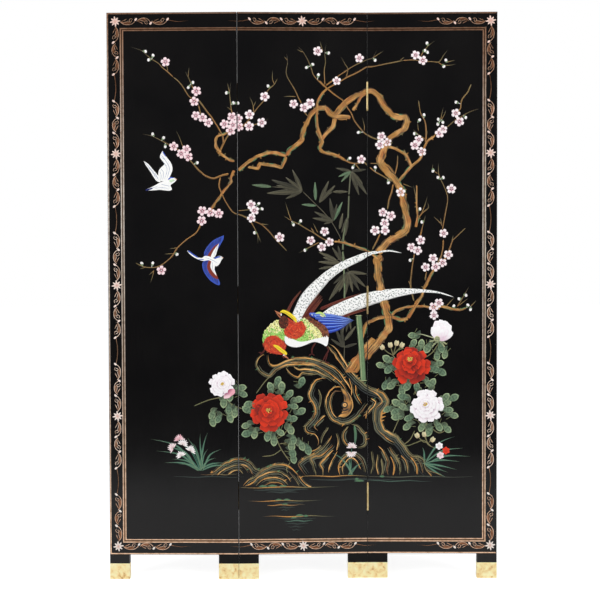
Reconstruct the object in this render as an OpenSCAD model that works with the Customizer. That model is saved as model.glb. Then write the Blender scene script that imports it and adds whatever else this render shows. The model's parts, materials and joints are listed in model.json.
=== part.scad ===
// Three-panel folding room divider: hollow frame-and-skin panels on brass-shod legs, joined by
// brass butt hinges at two seams. Millimetres, +Z up, floor at z = 0, front faces -Y.

/* [Panels] */
// Width of one panel
panel_w = 418; // [300:1:600]
// Height of the board, without the legs
board_h = 1750; // [1300:1:2100]
// Thickness of a finished panel
panel_t = 22; // [18:0.5:40]
// Thickness of the front and back skins
skin_t = 3; // [2:0.5:5]
// Rounding-off chamfer along the skins' outer edges
edge_ease = 0.8; // [0.2:0.1:1.8]
// How far each panel is turned in plan as the screen stands
rest_turn = 1.5; // [0:0.5:30]

/* [Frame] */
// Width of the stiles, which run down as the legs
stile_w = 64; // [45:1:90]
// Height of the top rail
top_rail_h = 62; // [40:1:100]
// Height of each middle rail
mid_rail_h = 50; // [36:1:90]
// Height of the bottom rail
bottom_rail_h = 80; // [40:1:120]
// Centre of the lower middle rail above the board's lower edge
lower_rail_up = 590; // [400:1:640]
// Centre of the upper middle rail above the board's lower edge
upper_rail_up = 1160; // [760:1:1200]
// Length of a tenon
tenon_len = 28; // [15:1:36]
// Thickness of a tenon
tenon_t = 7; // [4:0.5:9]
// Shoulder above and below a tenon
tenon_shoulder = 9; // [3:1:15]
// Glue gap around a tenon
glue_gap = 0.15; // [0.05:0.05:0.5]

/* [Legs and brass feet] */
// Length of the legs below the board, with their brass feet
leg_h = 80; // [60:1:140]
// Height of a brass foot
cap_h = 51; // [30:1:56]
// Thickness of the brass sheet
cap_wall = 0.8; // [0.5:0.1:1.2]
// Gap between the brass and the leg
cap_fit = 0.1; // [0.05:0.05:0.3]
// How far the brass stands out from the leg above it
cap_proud = 0.1; // [0.05:0.05:0.2]
// Radius of a brass pin that holds a foot
brad_r = 0.8; // [0.5:0.1:1.2]
// Radius of the pin's head
brad_head_r = 1.7; // [1.4:0.1:2.5]
// Height of the pin's head
brad_head_h = 0.5; // [0.3:0.1:0.8]
// Length of the pin's shank
brad_len = 9; // [5:0.5:14]
// Distance between the two pins of a foot
brad_pitch = 40; // [20:1:44]
// Distance of the pins below the foot's rim
brad_drop = 9; // [5:0.5:20]

/* [Hinges] */
// Gap between two panels
seam_gap = 0.4; // [0.4:0.1:4]
// Height of a hinge
hinge_h = 89; // [60:1:120]
// Thickness of a hinge leaf, which is let into the panel's edge
leaf_t = 1.4; // [1:0.1:1.8]
// How far a leaf stands out of the panel's edge
leaf_proud = 0.1; // [0.05:0.05:0.15]
// Gap around a leaf in its bed
bed_fit = 0.1; // [0.05:0.05:0.3]
// Depth of a hinge leaf across the panel's edge
leaf_depth = 17; // [14:0.5:17.5]
// Distance from the panel's face to the leaf
leaf_inset = 0.4; // [0.3:0.1:1]
// Outer radius of the knuckles
barrel_r = 3.1; // [2.7:0.1:4]
// Gap between the knuckles and the plane of the panel's face
barrel_lift = 0.2; // [0.1:0.1:1]
// Radius of the hinge pin
pin_r = 1.5; // [1:0.1:1.8]
// Running gap around the hinge pin
pin_play = 0.05; // [0.02:0.01:0.1]
// Number of knuckles of a hinge
knuckle_count = 5; // [3:2:7]
// Gap between two knuckles
knuckle_gap = 0.3; // [0.2:0.05:0.6]
// Radius of the pin's button ends
button_r = 2.6; // [2.2:0.1:3]
// Height of the pin's button ends
button_h = 1.6; // [1:0.1:3]
// Centre of the bottom hinge above the board's lower edge
low_hinge_up = 187; // [120:1:300]
// Centre of the middle hinge above the board's lower edge
mid_hinge_up = 825; // [600:1:950]
// Centre of the top hinge below the board's upper edge
top_hinge_down = 269; // [100:1:320]

/* [Hinge screws] */
// Screws in each leaf
screw_count = 3; // [2:1:3]
// Distance from one screw to the next
screw_pitch = 29; // [20:0.5:29]
// Radius of the screw's shank
screw_r = 1.6; // [1.2:0.1:2]
// Radius of the screw's head
screw_head_r = 3; // [2.4:0.1:3.5]
// Height of the screw's countersunk head
screw_head_h = 1.5; // [1:0.1:1.5]
// Length of the screw
screw_len = 16; // [10:0.5:25]
// Width of the slot in the screw's head
slot_w = 0.8; // [0.5:0.1:1.1]
// Depth of the slot in the screw's head
slot_depth = 0.6; // [0.3:0.1:0.9]
// Gap around a screw
screw_play = 0.1; // [0.05:0.05:0.2]

/* [Hidden] */
$fn = 48;
PANELS = ["left", "centre", "right"];
SEAMS = ["left", "right"];
HINGES = ["bottom", "middle", "top"];

// Panel: the frame's core lies between the skins, and the legs are as thick as the whole panel
core_t = panel_t - 2 * skin_t;
// The leg's end is cut back, so that the brass round it is nearly flush with the leg
cap_in = cap_wall + cap_fit - cap_proud;
board_top = leg_h + board_h;
rail_span = panel_w - 2 * stile_w;
past = 1;

// Hinge: the knuckles stand outside the face, so two folded panels lie 2 * barrel_out apart
barrel_out = barrel_r + barrel_lift;
pitch_w = panel_w + seam_gap;
leaf_face = seam_gap / 2 - leaf_proud;
knuckle_h = hinge_h / knuckle_count;
screw_y = leaf_inset + leaf_depth / 2;
screw_tip = 3 * screw_r;

// Places of the rails and hinges up the height
function rail_z(r) =
    r == "top_rail" ? board_top - top_rail_h :
    r == "upper_rail" ? leg_h + upper_rail_up - mid_rail_h / 2 :
    r == "lower_rail" ? leg_h + lower_rail_up - mid_rail_h / 2 :
    leg_h;
function rail_h(r) =
    r == "top_rail" ? top_rail_h :
    r == "bottom_rail" ? bottom_rail_h :
    mid_rail_h;
function hinge_z(h) =
    h == "top" ? board_top - top_hinge_down :
    h == "middle" ? leg_h + mid_hinge_up :
    leg_h + low_hinge_up;

// Seams: the left one folds backwards (knuckles behind), the right one forwards (knuckles in front)
function knuckle_side(seam) = seam == "left" ? 1 : -1;
function sign_of(side) = side == "left" ? -1 : 1;
function other(side) = side == "left" ? "right" : "left";

// The seam that a panel's stile lies at, or "" where the stile is an outer one
function seam_at(p, side) =
    (p == "left" && side == "right") || (p == "centre" && side == "left") ? "left" :
    (p == "centre" && side == "right") || (p == "right" && side == "left") ? "right" :
    "";

// Puts a panel's own frame (middle of the panel, floor) where the panel stands
module stand(p) {
    if (p == "centre") {
        rotate([0, 0, rest_turn]) children();
    } else {
        s = sign_of(p);
        pivot_y = knuckle_side(p) * (panel_t / 2 + barrel_out);
        rotate([0, 0, rest_turn])
            translate([s * pitch_w / 2, pivot_y, 0])
                rotate([0, 0, -2 * rest_turn])
                    translate([s * pitch_w / 2, -pivot_y, 0])
                        children();
    }
}

// Puts a seam's frame (middle of the gap) at the given edge of a panel
module at_edge(side) {
    translate([sign_of(side) * pitch_w / 2, 0, 0]) children();
}

module screw_shape(play) {
    cylinder(r1 = screw_head_r + play, r2 = screw_r + play, h = screw_head_h);
    cylinder(r = screw_r + play, h = screw_len - screw_tip);
    translate([0, 0, screw_len - screw_tip])
        cylinder(r1 = screw_r + play, r2 = 0.3 + play, h = screw_tip + play);
}

// Lays screws along a leaf, heads towards the gap; side is the stile's side of the gap
module screw_row(seam, side, h) {
    s = sign_of(side);
    k = knuckle_side(seam);
    for (i = [0 : screw_count - 1])
        translate([s * leaf_face, k * (panel_t / 2 - screw_y),
                   hinge_z(h) + (i - (screw_count - 1) / 2) * screw_pitch])
            rotate([0, 90 * s, 0])
                children();
}

module screws(seam, side) {
    color([0.80, 0.62, 0.28])
        for (h = HINGES)
            screw_row(seam, side, h)
                translate([0, 0, screw_play])
                    difference() {
                        screw_shape(0);
                        translate([-slot_w / 2, -screw_head_r - past, -past])
                            cube([slot_w, 2 * (screw_head_r + past), past + slot_depth]);
                    }
}

// Two brads behind each foot, driven forwards into the leg
module brad_row(side) {
    s = sign_of(side);
    for (i = [-1, 1])
        translate([s * (panel_w - stile_w) / 2 + i * brad_pitch / 2,
                   panel_t / 2 + cap_proud, cap_h - brad_drop])
            rotate([90, 0, 0])
                children();
}

module foot_pins() {
    color([0.85, 0.68, 0.32])
        for (side = ["left", "right"])
            brad_row(side) {
                cylinder(r = brad_r, h = brad_len);
                translate([0, 0, -brad_head_h])
                    cylinder(r1 = brad_head_r * 0.7, r2 = brad_head_r, h = brad_head_h);
            }
}

module mortises() {
    for (r = ["top_rail", "upper_rail", "lower_rail", "bottom_rail"])
        translate([-rail_span / 2 - tenon_len - glue_gap, -tenon_t / 2 - glue_gap,
                   rail_z(r) + tenon_shoulder - glue_gap])
            cube([rail_span + 2 * (tenon_len + glue_gap), tenon_t + 2 * glue_gap,
                  rail_h(r) - 2 * (tenon_shoulder - glue_gap)]);
}

// The beds that a seam's leaves are let into, open at the edge and at the face by the knuckles
module leaf_beds(seam, side) {
    k = knuckle_side(seam);
    deep = leaf_inset + leaf_depth + bed_fit;
    for (h = HINGES)
        translate([side == "right" ? -past : -leaf_face - leaf_t,
                   k > 0 ? panel_t / 2 - deep : -panel_t / 2 - past,
                   hinge_z(h) - hinge_h / 2 - bed_fit])
            cube([past + leaf_face + leaf_t, deep + past, hinge_h + 2 * bed_fit]);
}

module stile(p, side) {
    s = sign_of(side);
    x = s * (panel_w - stile_w) / 2 - stile_w / 2;
    seam = seam_at(p, side);
    color([0.09, 0.09, 0.10])
        difference() {
            union() {
                translate([x, -core_t / 2, leg_h])
                    cube([stile_w, core_t, board_h]);
                translate([x, -panel_t / 2, cap_h + cap_fit])
                    cube([stile_w, panel_t, leg_h - cap_h - cap_fit]);
                translate([x + cap_in, cap_in - panel_t / 2, cap_wall])
                    cube([stile_w - 2 * cap_in, panel_t - 2 * cap_in, leg_h - cap_wall]);
            }
            mortises();
            brad_row(side) cylinder(r = brad_r + screw_play, h = brad_len + screw_play);
            if (seam != "")
                at_edge(side) {
                    leaf_beds(seam, other(side));
                    for (h = HINGES)
                        screw_row(seam, other(side), h)
                            screw_shape(screw_play);
                }
        }
}

module rail(r) {
    z = rail_z(r);
    h = rail_h(r);
    color([0.12, 0.11, 0.11]) {
        translate([-rail_span / 2, -core_t / 2, z])
            cube([rail_span, core_t, h]);
        translate([-rail_span / 2 - tenon_len, -tenon_t / 2, z + tenon_shoulder])
            cube([rail_span + 2 * tenon_len, tenon_t, h - 2 * tenon_shoulder]);
    }
}

// A skin's profile: a flat strip of length len whose two outer corners are eased
module eased_strip(len) {
    polygon([[-len / 2, 0], [len / 2, 0], [len / 2, skin_t - edge_ease],
             [len / 2 - edge_ease, skin_t], [edge_ease - len / 2, skin_t],
             [-len / 2, skin_t - edge_ease]]);
}

// A skin: a thin board with its four outer edges eased, and with the beds of leaves that reach its
// face; out is -1 in front and 1 behind
module skin(p, out) {
    color([0.05, 0.05, 0.06])
        difference() {
            translate([0, 0, leg_h + board_h / 2])
                intersection() {
                    linear_extrude(board_h, center = true)
                        scale([1, out])
                            translate([0, core_t / 2])
                                eased_strip(panel_w);
                    rotate([0, 90, 0])
                        linear_extrude(panel_w, center = true)
                            scale([1, out])
                                translate([0, core_t / 2])
                                    eased_strip(board_h);
                }
            for (side = ["left", "right"]) {
                seam = seam_at(p, side);
                if (seam != "" && knuckle_side(seam) == out)
                    at_edge(side) leaf_beds(seam, other(side));
            }
        }
}

module foot(side) {
    s = sign_of(side);
    in_w = stile_w - 2 * (cap_in - cap_fit);
    in_t = panel_t - 2 * (cap_in - cap_fit);
    color([0.93, 0.77, 0.42])
        difference() {
            translate([s * (panel_w - stile_w) / 2 - in_w / 2 - cap_wall, -in_t / 2 - cap_wall, 0])
                cube([in_w + 2 * cap_wall, in_t + 2 * cap_wall, cap_h]);
            translate([s * (panel_w - stile_w) / 2 - in_w / 2, -in_t / 2, cap_wall])
                cube([in_w, in_t, cap_h]);
            brad_row(side)
                translate([0, 0, -past])
                    cylinder(r = brad_r + screw_play, h = cap_wall + 2 * past);
        }
}

// A leaf lies in its bed in the panel's edge; the leaf of the centre panel has the odd knuckles and the ends
module leaf(seam, side, h) {
    s = sign_of(side);
    k = knuckle_side(seam);
    first = seam == side ? 1 : 0;
    z0 = hinge_z(h) - hinge_h / 2;
    plate_x = s > 0 ? leaf_face : -leaf_face - leaf_t;
    web_y = panel_t / 2 - leaf_inset - 1;
    color([0.78, 0.62, 0.30])
        difference() {
            union() {
                translate([plate_x, k > 0 ? panel_t / 2 - leaf_inset - leaf_depth
                                          : leaf_inset - panel_t / 2, z0])
                    cube([leaf_t, leaf_depth, hinge_h]);
                for (i = [first : 2 : knuckle_count - 1]) {
                    low = z0 + i * knuckle_h + (i > 0 ? knuckle_gap / 2 : 0);
                    high = z0 + (i + 1) * knuckle_h - (i < knuckle_count - 1 ? knuckle_gap / 2 : 0);
                    translate([0, k * (panel_t / 2 + barrel_out), low])
                        cylinder(r = barrel_r, h = high - low);
                    translate([plate_x, k > 0 ? web_y : -panel_t / 2 - barrel_out, low])
                        cube([leaf_t, panel_t / 2 + barrel_out - web_y, high - low]);
                }
            }
            translate([0, k * (panel_t / 2 + barrel_out), z0 - past])
                cylinder(r = pin_r + pin_play, h = hinge_h + 2 * past);
            screw_row(seam, side, h) {
                screw_shape(screw_play);
                translate([0, 0, -past])
                    cylinder(r = screw_head_r + screw_play, h = past + screw_play);
            }
        }
}

module hinge_pin(seam, h) {
    k = knuckle_side(seam);
    end_gap = knuckle_gap / 2;
    z0 = hinge_z(h) - hinge_h / 2 - end_gap;
    color([0.88, 0.72, 0.38])
        translate([0, k * (panel_t / 2 + barrel_out), z0]) {
            cylinder(r = pin_r, h = hinge_h + 2 * end_gap);
            for (up = [0, 1])
                translate([0, 0, up * (hinge_h + 2 * end_gap)])
                    mirror([0, 0, 1 - up]) {
                        cylinder(r = button_r, h = button_h * 0.6);
                        translate([0, 0, button_h * 0.6])
                            cylinder(r1 = button_r, r2 = button_r * 0.65, h = button_h * 0.4);
                    }
        }
}

for (p = PANELS)
    stand(p) {
        for (side = ["left", "right"]) {
            stile(p, side);
            foot(side);
        }
        for (r = ["top_rail", "upper_rail", "lower_rail", "bottom_rail"])
            rail(r);
        skin(p, -1);
        skin(p, 1);
        foot_pins();
    }

// Each seam's inner leaves and pins stand with the centre panel, the outer leaves with their panel
for (seam = SEAMS)
    for (side = ["left", "right"]) {
        own = seam == side;
        stand(own ? seam : "centre")
            at_edge(own ? other(side) : seam) {
                for (h = HINGES)
                    leaf(seam, side, h);
                screws(seam, side);
            }
    }

for (seam = SEAMS)
    stand("centre")
        at_edge(seam)
            for (h = HINGES)
                hinge_pin(seam, h);
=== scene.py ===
import json
import math
import random

import bmesh
import bpy
from mathutils import Matrix, Vector


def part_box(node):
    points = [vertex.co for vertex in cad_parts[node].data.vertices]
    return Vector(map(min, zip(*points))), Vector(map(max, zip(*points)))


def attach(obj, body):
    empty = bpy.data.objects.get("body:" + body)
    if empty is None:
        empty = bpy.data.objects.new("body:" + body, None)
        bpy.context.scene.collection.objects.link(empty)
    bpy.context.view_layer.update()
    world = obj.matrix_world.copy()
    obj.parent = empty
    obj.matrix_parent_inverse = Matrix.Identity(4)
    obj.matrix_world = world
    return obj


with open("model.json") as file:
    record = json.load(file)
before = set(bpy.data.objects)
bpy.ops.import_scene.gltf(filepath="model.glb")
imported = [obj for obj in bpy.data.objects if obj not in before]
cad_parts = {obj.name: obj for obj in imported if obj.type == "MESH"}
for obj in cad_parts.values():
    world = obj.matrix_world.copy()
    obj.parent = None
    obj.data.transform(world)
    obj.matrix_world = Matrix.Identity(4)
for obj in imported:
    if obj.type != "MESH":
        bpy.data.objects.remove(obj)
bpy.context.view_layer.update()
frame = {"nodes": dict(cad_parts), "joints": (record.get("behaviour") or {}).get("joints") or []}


# Camera
# A portrait lens in front of the screen, a little above its middle and looking slightly down.
# Place, aim and roll come from the outline of the screen in the photograph.
camera_place = Vector((-0.0377, -3.5, 0.9878))
camera_aim = Vector((-0.0088, 0.0, 0.9053))
camera_roll = math.radians(-0.16)
camera_lens = 64.82

camera_data = bpy.data.cameras.new("camera")
camera_data.lens = camera_lens
camera_data.sensor_width = 36
camera = bpy.data.objects.new("camera", camera_data)
looking = (camera_aim - camera_place).to_track_quat("-Z", "Y").to_matrix()
camera.matrix_world = (
    Matrix.Translation(camera_place) @ (looking @ Matrix.Rotation(camera_roll, 3, "Z")).to_4x4()
)
bpy.context.scene.collection.objects.link(camera)
bpy.context.scene.camera = camera
bpy.context.scene.view_settings.view_transform = "Standard"


# Studio
# A white floor and a white surround, two softboxes in front and one overhead. The room behind
# the camera is dim, so that gloss surfaces that face it stay dark.
floor_size = 60.0
floor_white = (0.80, 0.80, 0.80, 1)
floor_far = (0.13, 0.13, 0.13, 1)
floor_glow = 0.60
near_floor = -1.15
far_floor = -2.75
near_dim = 0.22
room_dim = 0.15
room_light = 0.54
room_turn = (-0.9, 0.1)


def new_node(tree, kind, inputs=(), **settings):
    """A node with its settings; inputs gives, by name or number, the value or link that each one takes."""
    node = tree.nodes.new(kind)
    for setting, value in settings.items():
        setattr(node, setting, value)
    for socket, value in dict(inputs).items():
        if isinstance(value, bpy.types.NodeSocket):
            tree.links.new(value, node.inputs[socket])
        else:
            node.inputs[socket].default_value = value
    return node


def reckoned(tree, operation, first, second):
    """One step of arithmetic in a tree."""
    return new_node(tree, "ShaderNodeMath", {0: first, 1: second}, operation=operation).outputs[0]


def new_material(name):
    """A material with its node tree and its output, for a surface to be built in."""
    material = bpy.data.materials.new(name)
    material.use_nodes = True
    tree = material.node_tree
    tree.nodes.clear()
    return material, tree, tree.nodes.new("ShaderNodeOutputMaterial")


def faded(tree, value, low, high, start):
    """A value between low and high, brought softly to between start and 1."""
    return new_node(
        tree, "ShaderNodeMapRange", {"From Min": low, "From Max": high, "To Min": start, "Value": value},
        interpolation_type="SMOOTHSTEP",
    ).outputs[0]


def axis_of(tree, place, axis):
    """One coordinate of a place."""
    return new_node(tree, "ShaderNodeSeparateXYZ", {0: place}).outputs[axis]


def seen_directly(tree):
    """1 for camera, glossy and transmission rays, which show the white surround, otherwise 0."""
    path = new_node(tree, "ShaderNodeLightPath")
    total = path.outputs["Is Camera Ray"]
    for ray in ("Is Glossy Ray", "Is Transmission Ray"):
        total = reckoned(tree, "MAXIMUM", total, path.outputs[ray])
    return total


floor_material, tree, output = new_material("studio_floor")
matt = new_node(tree, "ShaderNodeBsdfDiffuse", {"Color": floor_white})
dark = new_node(tree, "ShaderNodeBsdfDiffuse", {"Color": floor_far})
place = new_node(tree, "ShaderNodeTexCoord").outputs["Object"]
nearness = faded(tree, axis_of(tree, place, "Y"), near_floor, far_floor, near_dim)
glossy_ray = new_node(tree, "ShaderNodeLightPath").outputs["Is Glossy Ray"]
mirrored = reckoned(tree, "MULTIPLY", nearness, glossy_ray)
glowing = reckoned(tree, "MULTIPLY", seen_directly(tree), floor_glow)
glow = new_node(tree, "ShaderNodeEmission", {"Strength": glowing})
lit = new_node(tree, "ShaderNodeAddShader", {0: matt.outputs[0], 1: glow.outputs[0]})
shown = new_node(tree, "ShaderNodeMixShader", {"Fac": mirrored, 1: lit.outputs[0], 2: dark.outputs[0]})
tree.links.new(shown.outputs[0], output.inputs["Surface"])

floor_mesh = bpy.data.meshes.new("studio_floor")
half = floor_size / 2
floor_mesh.from_pydata(
    [(-half, -half, 0), (half, -half, 0), (half, half, 0), (-half, half, 0)], [], [(0, 1, 2, 3)]
)
floor_mesh.materials.append(floor_material)
floor = bpy.data.objects.new("studio_floor", floor_mesh)
bpy.context.scene.collection.objects.link(floor)

world = bpy.data.worlds.new("studio")
world.use_nodes = True
bpy.context.scene.world = world
tree = world.node_tree
tree.nodes.clear()
direction = new_node(tree, "ShaderNodeTexCoord").outputs["Generated"]
front_to_back = faded(tree, axis_of(tree, direction, "Y"), *room_turn, room_dim)
glossy_ray = new_node(tree, "ShaderNodeLightPath").outputs["Is Glossy Ray"]
surround = new_node(tree, "ShaderNodeMix", {"Factor": glossy_ray, 2: 1.0, 3: front_to_back})
direct = seen_directly(tree)
strength = new_node(tree, "ShaderNodeMix", {"Factor": direct, 2: room_light, 3: surround.outputs[0]})
sky = new_node(tree, "ShaderNodeBackground", {"Color": (1, 1, 1, 1), "Strength": strength.outputs[0]})
new_node(tree, "ShaderNodeOutputWorld", {"Surface": sky.outputs[0]})


def softbox(name, place, aim, size, power):
    """A lamp with a broad face, turned to a place on the screen."""
    lamp = bpy.data.lights.new(name, "AREA")
    lamp.shape = "RECTANGLE"
    lamp.size, lamp.size_y = size
    lamp.energy = power
    box = bpy.data.objects.new(name, lamp)
    aim_at = (Vector(aim) - Vector(place)).to_track_quat("-Z", "Y").to_matrix().to_4x4()
    box.matrix_world = Matrix.Translation(place) @ aim_at
    bpy.context.scene.collection.objects.link(box)


softbox("softbox_left", (-3.2, -3.4, 2.4), (0, 0, 0.95), (1.6, 2.2), 58)
softbox("softbox_right", (3.2, -3.4, 2.2), (0, 0, 0.85), (1.6, 2.2), 52)
softbox("softbox_top", (0, -0.6, 4.2), (0, 0, 0.6), (3.0, 1.6), 42)


# Front and back skins
# Thin boards that close each panel's frame, sprayed with many coats of black lacquer and rubbed
# to a deep gloss. Slow waves in the board and fine rubbing marks show only in the reflections.
lacquer_black = (0.0032, 0.0030, 0.0034, 1)
lacquer_worn = (0.0062, 0.0056, 0.0056, 1)
lacquer_specular = 0.25


def noise(tree, scale, detail=4.0, stretch=(1, 1, 1), distortion=0.0):
    """Noise on Object coordinates, in cycles per metre, finer or coarser along each axis."""
    place = new_node(tree, "ShaderNodeTexCoord").outputs["Object"]
    mapping = new_node(tree, "ShaderNodeMapping", {"Scale": stretch, "Vector": place})
    return new_node(tree, "ShaderNodeTexNoise", {
        "Scale": scale, "Detail": detail, "Distortion": distortion, "Vector": mapping.outputs[0],
    }).outputs["Fac"]


def ramp(tree, factor, *stops):
    """A colour ramp through (position, colour) stops."""
    node = new_node(tree, "ShaderNodeValToRGB", {"Fac": factor})
    elements = node.color_ramp.elements
    while len(elements) < len(stops):
        elements.new(0.5)
    for element, (position, colour) in zip(elements, stops):
        element.position = position
        element.color = colour
    return node.outputs["Color"]


def span(tree, factor, low, high, start=0.0, end=1.0):
    """factor between start and end, moved to between low and high."""
    return new_node(tree, "ShaderNodeMapRange", {
        "From Min": start, "From Max": end, "To Min": low, "To Max": high, "Value": factor,
    }).outputs["Result"]


def finish(tree, output, colour, roughness, bumps, **values):
    """A principled surface: colour and roughness are a value or a link, bumps are (height, depth in metres)
    layers with the last on top, and the other values stand on the surface's own sockets."""
    surface = new_node(tree, "ShaderNodeBsdfPrincipled", {"Base Color": colour, "Roughness": roughness})
    for socket, value in values.items():
        surface.inputs[socket.replace("_", " ")].default_value = value
    below = None
    for height, depth in bumps:
        layer = {"Strength": 1.0, "Distance": depth, "Height": height}
        if below:
            layer["Normal"] = below
        below = new_node(tree, "ShaderNodeBump", layer).outputs["Normal"]
    tree.links.new(below, surface.inputs["Normal"])
    tree.links.new(surface.outputs[0], output.inputs["Surface"])


def wear_material(node, material):
    """Gives a CAD node its finish."""
    frame["nodes"][node].data.materials.clear()
    frame["nodes"][node].data.materials.append(material)


gloss_lacquer, tree, output = new_material("gloss_black_lacquer")
finish(
    tree, output, ramp(tree, noise(tree, 5, 5), (0.35, lacquer_black), (0.75, lacquer_worn)),
    span(tree, noise(tree, 420, 3, stretch=(1, 1, 0.06)), 0.10, 0.20, 0.3, 0.7),
    [(noise(tree, 7, 1), 0.0006), (noise(tree, 900, 2), 0.000004)], Specular_IOR_Level=lacquer_specular,
)

PANELS = ("left_panel", "centre_panel", "right_panel")
for panel in PANELS:
    for side in ("front", "back"):
        wear_material(f"{panel}_{side}_skin", gloss_lacquer)


# Frame: stiles, rails and legs
# Softwood bars joined with mortise and tenon. Where they show, at the panels' edges and on the
# legs, they carry the same black lacquer, left as sprayed: satin and a little uneven, and matt
# on the edges that meet at the seams, where rubbing has dulled it.
satin_black, satin_worn = (0.004, 0.0038, 0.0040, 1), (0.009, 0.008, 0.0075, 1)
matt_black, matt_worn = (0.0045, 0.0043, 0.0045, 1), (0.009, 0.0085, 0.008, 1)
spray_stretch = (6, 6, 0.4)
seam_stiles = (
    "left_panel_right_stile", "centre_panel_left_stile", "centre_panel_right_stile",
    "right_panel_left_stile",
)

satin_lacquer, tree, output = new_material("satin_black_lacquer")
finish(
    tree, output, ramp(tree, noise(tree, 30, 4), (0.3, satin_black), (0.8, satin_worn)),
    span(tree, noise(tree, 160, 3), 0.26, 0.42),
    [(noise(tree, 60, 3, stretch=spray_stretch), 0.00005), (noise(tree, 700, 2), 0.00001)],
    Specular_IOR_Level=0.3,
)
matt_lacquer, tree, output = new_material("matt_black_lacquer")
finish(
    tree, output, ramp(tree, noise(tree, 40, 4), (0.3, matt_black), (0.8, matt_worn)),
    span(tree, noise(tree, 160, 3), 0.5, 0.65),
    [(noise(tree, 60, 3, stretch=spray_stretch), 0.00006)], Specular_IOR_Level=0.12,
)
for panel in PANELS:
    for piece in ("left_stile", "right_stile", "top_rail", "upper_rail", "lower_rail", "bottom_rail"):
        node = f"{panel}_{piece}"
        wear_material(node, matt_lacquer if node in seam_stiles else satin_lacquer)


# Brass feet
# Thin brass sheet folded round each leg's end and toned to look like old gold leaf: pale worn
# patches, warmer mottling and small dark spots.
leaf_spot, leaf_warm = (0.50, 0.27, 0.09, 1), (0.86, 0.60, 0.26, 1)
leaf_gold, leaf_worn = (0.97, 0.80, 0.40, 1), (1.0, 0.93, 0.56, 1)
foot_brass, tree, output = new_material("antiqued_foot_brass")
mottle = noise(tree, 60, 6, distortion=0.6)
finish(
    tree, output,
    ramp(tree, mottle, (0.30, leaf_spot), (0.37, leaf_warm), (0.48, leaf_gold), (0.66, leaf_worn)),
    span(tree, noise(tree, 120, 4), 0.28, 0.5), [(noise(tree, 70, 3), 0.0003)], Metallic=0.3,
    Specular_IOR_Level=0.5,
)
for panel in PANELS:
    for side in ("left", "right"):
        wear_material(f"{panel}_{side}_foot", foot_brass)


# Hinges, their pins and all fixings
# Drawn brass butt hinges with brushed knuckles, countersunk brass screws and small brass pins.
brass_dull, brass_bright = (0.50, 0.36, 0.15, 1), (0.80, 0.64, 0.34, 1)
brushed_along = (1, 1, 0.05)
hinge_brass, tree, output = new_material("hinge_brass")
finish(
    tree, output, ramp(tree, noise(tree, 90, 5), (0.3, brass_dull), (0.7, brass_bright)),
    span(tree, noise(tree, 800, 2, stretch=brushed_along), 0.2, 0.38),
    [(noise(tree, 900, 2, stretch=brushed_along), 0.00002)], Metallic=1.0,
)
for node in frame["nodes"]:
    if "hinge" in node or "screws" in node or "pins" in node:
        wear_material(node, hinge_brass)


# Gilt lines
# A broad line along three of the board's edges, and a double line with a brown one between inside the
# border, in gold size and copper bronze powder, raised a little and rubbed. They frame all three panels.
MM = 0.001
lift = 0.15
sink = 0.05
ease = 0.35
seam_edge = 0.9
# Height at which the gilt uprights are painted palest, as a painted reflection; above it they darken to the
# top as painted shade.
painted_sheen_height = 1180
gilt_bright = (0.90, 0.60, 0.41, 1)
gilt_brown = (0.20, 0.10, 0.045, 1)
outer_inset, outer_width, inner_width = 1.5, 3.6, 3.2

# Each inner line: how far it lies from the sides, the foot and the head, and its colour.
inner_lines = (
    (39.7, 39.4, 49.1, gilt_bright),
    (43.1, 42.8, 52.5, gilt_brown),
    (47.4, 47.4, 55.8, gilt_bright),
)
border_slide = 3.3
fold = next(joint for joint in frame["joints"] if joint["name"] == "right_fold")
turn = math.radians(-fold["range_deg"][0] / 2)


def panel_place(panel):
    """Middle, width and thickness of a panel, and how far it is turned, from its two skins."""
    corners = [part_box(f"{panel}_{side}_skin") for side in ("front", "back")]
    low = Vector(map(min, corners[0][0], corners[1][0]))
    high = Vector(map(max, corners[0][1], corners[1][1]))
    size = high - low
    across = (size.x * math.cos(turn) - size.y * math.sin(turn)) / math.cos(2 * turn)
    through = (size.y * math.cos(turn) - size.x * math.sin(turn)) / math.cos(2 * turn)
    angle = turn if panel == "centre_panel" else -turn
    return (low + high) / 2, across, through, angle


centre, board_width, *_ = panel_place("centre_panel")
hinge_line = Vector(fold["pos_m"]) - centre
pitch = 2 * abs(hinge_line.x * math.cos(turn) + hinge_line.y * math.sin(turn))
skin_low, skin_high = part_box("centre_panel_front_skin")
board_low = skin_low.z / MM
board_high = skin_high.z / MM
board_half = (pitch + board_width / 2) / MM


def flat_mesh(name, corners, faces, tints, material):
    """A mesh of flat work in millimetres (across, out of the face, up), with a colour at each corner."""
    mesh = bpy.data.meshes.new(name)
    mesh.from_pydata([(u * MM, -out * MM, z * MM) for u, out, z in corners], [], faces)
    mesh.attributes.new("paint", "FLOAT_COLOR", "POINT")
    mesh.attributes["paint"].data.foreach_set("color", [value for tint in tints for value in tint])
    mesh.materials.append(material)
    return mesh


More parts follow.
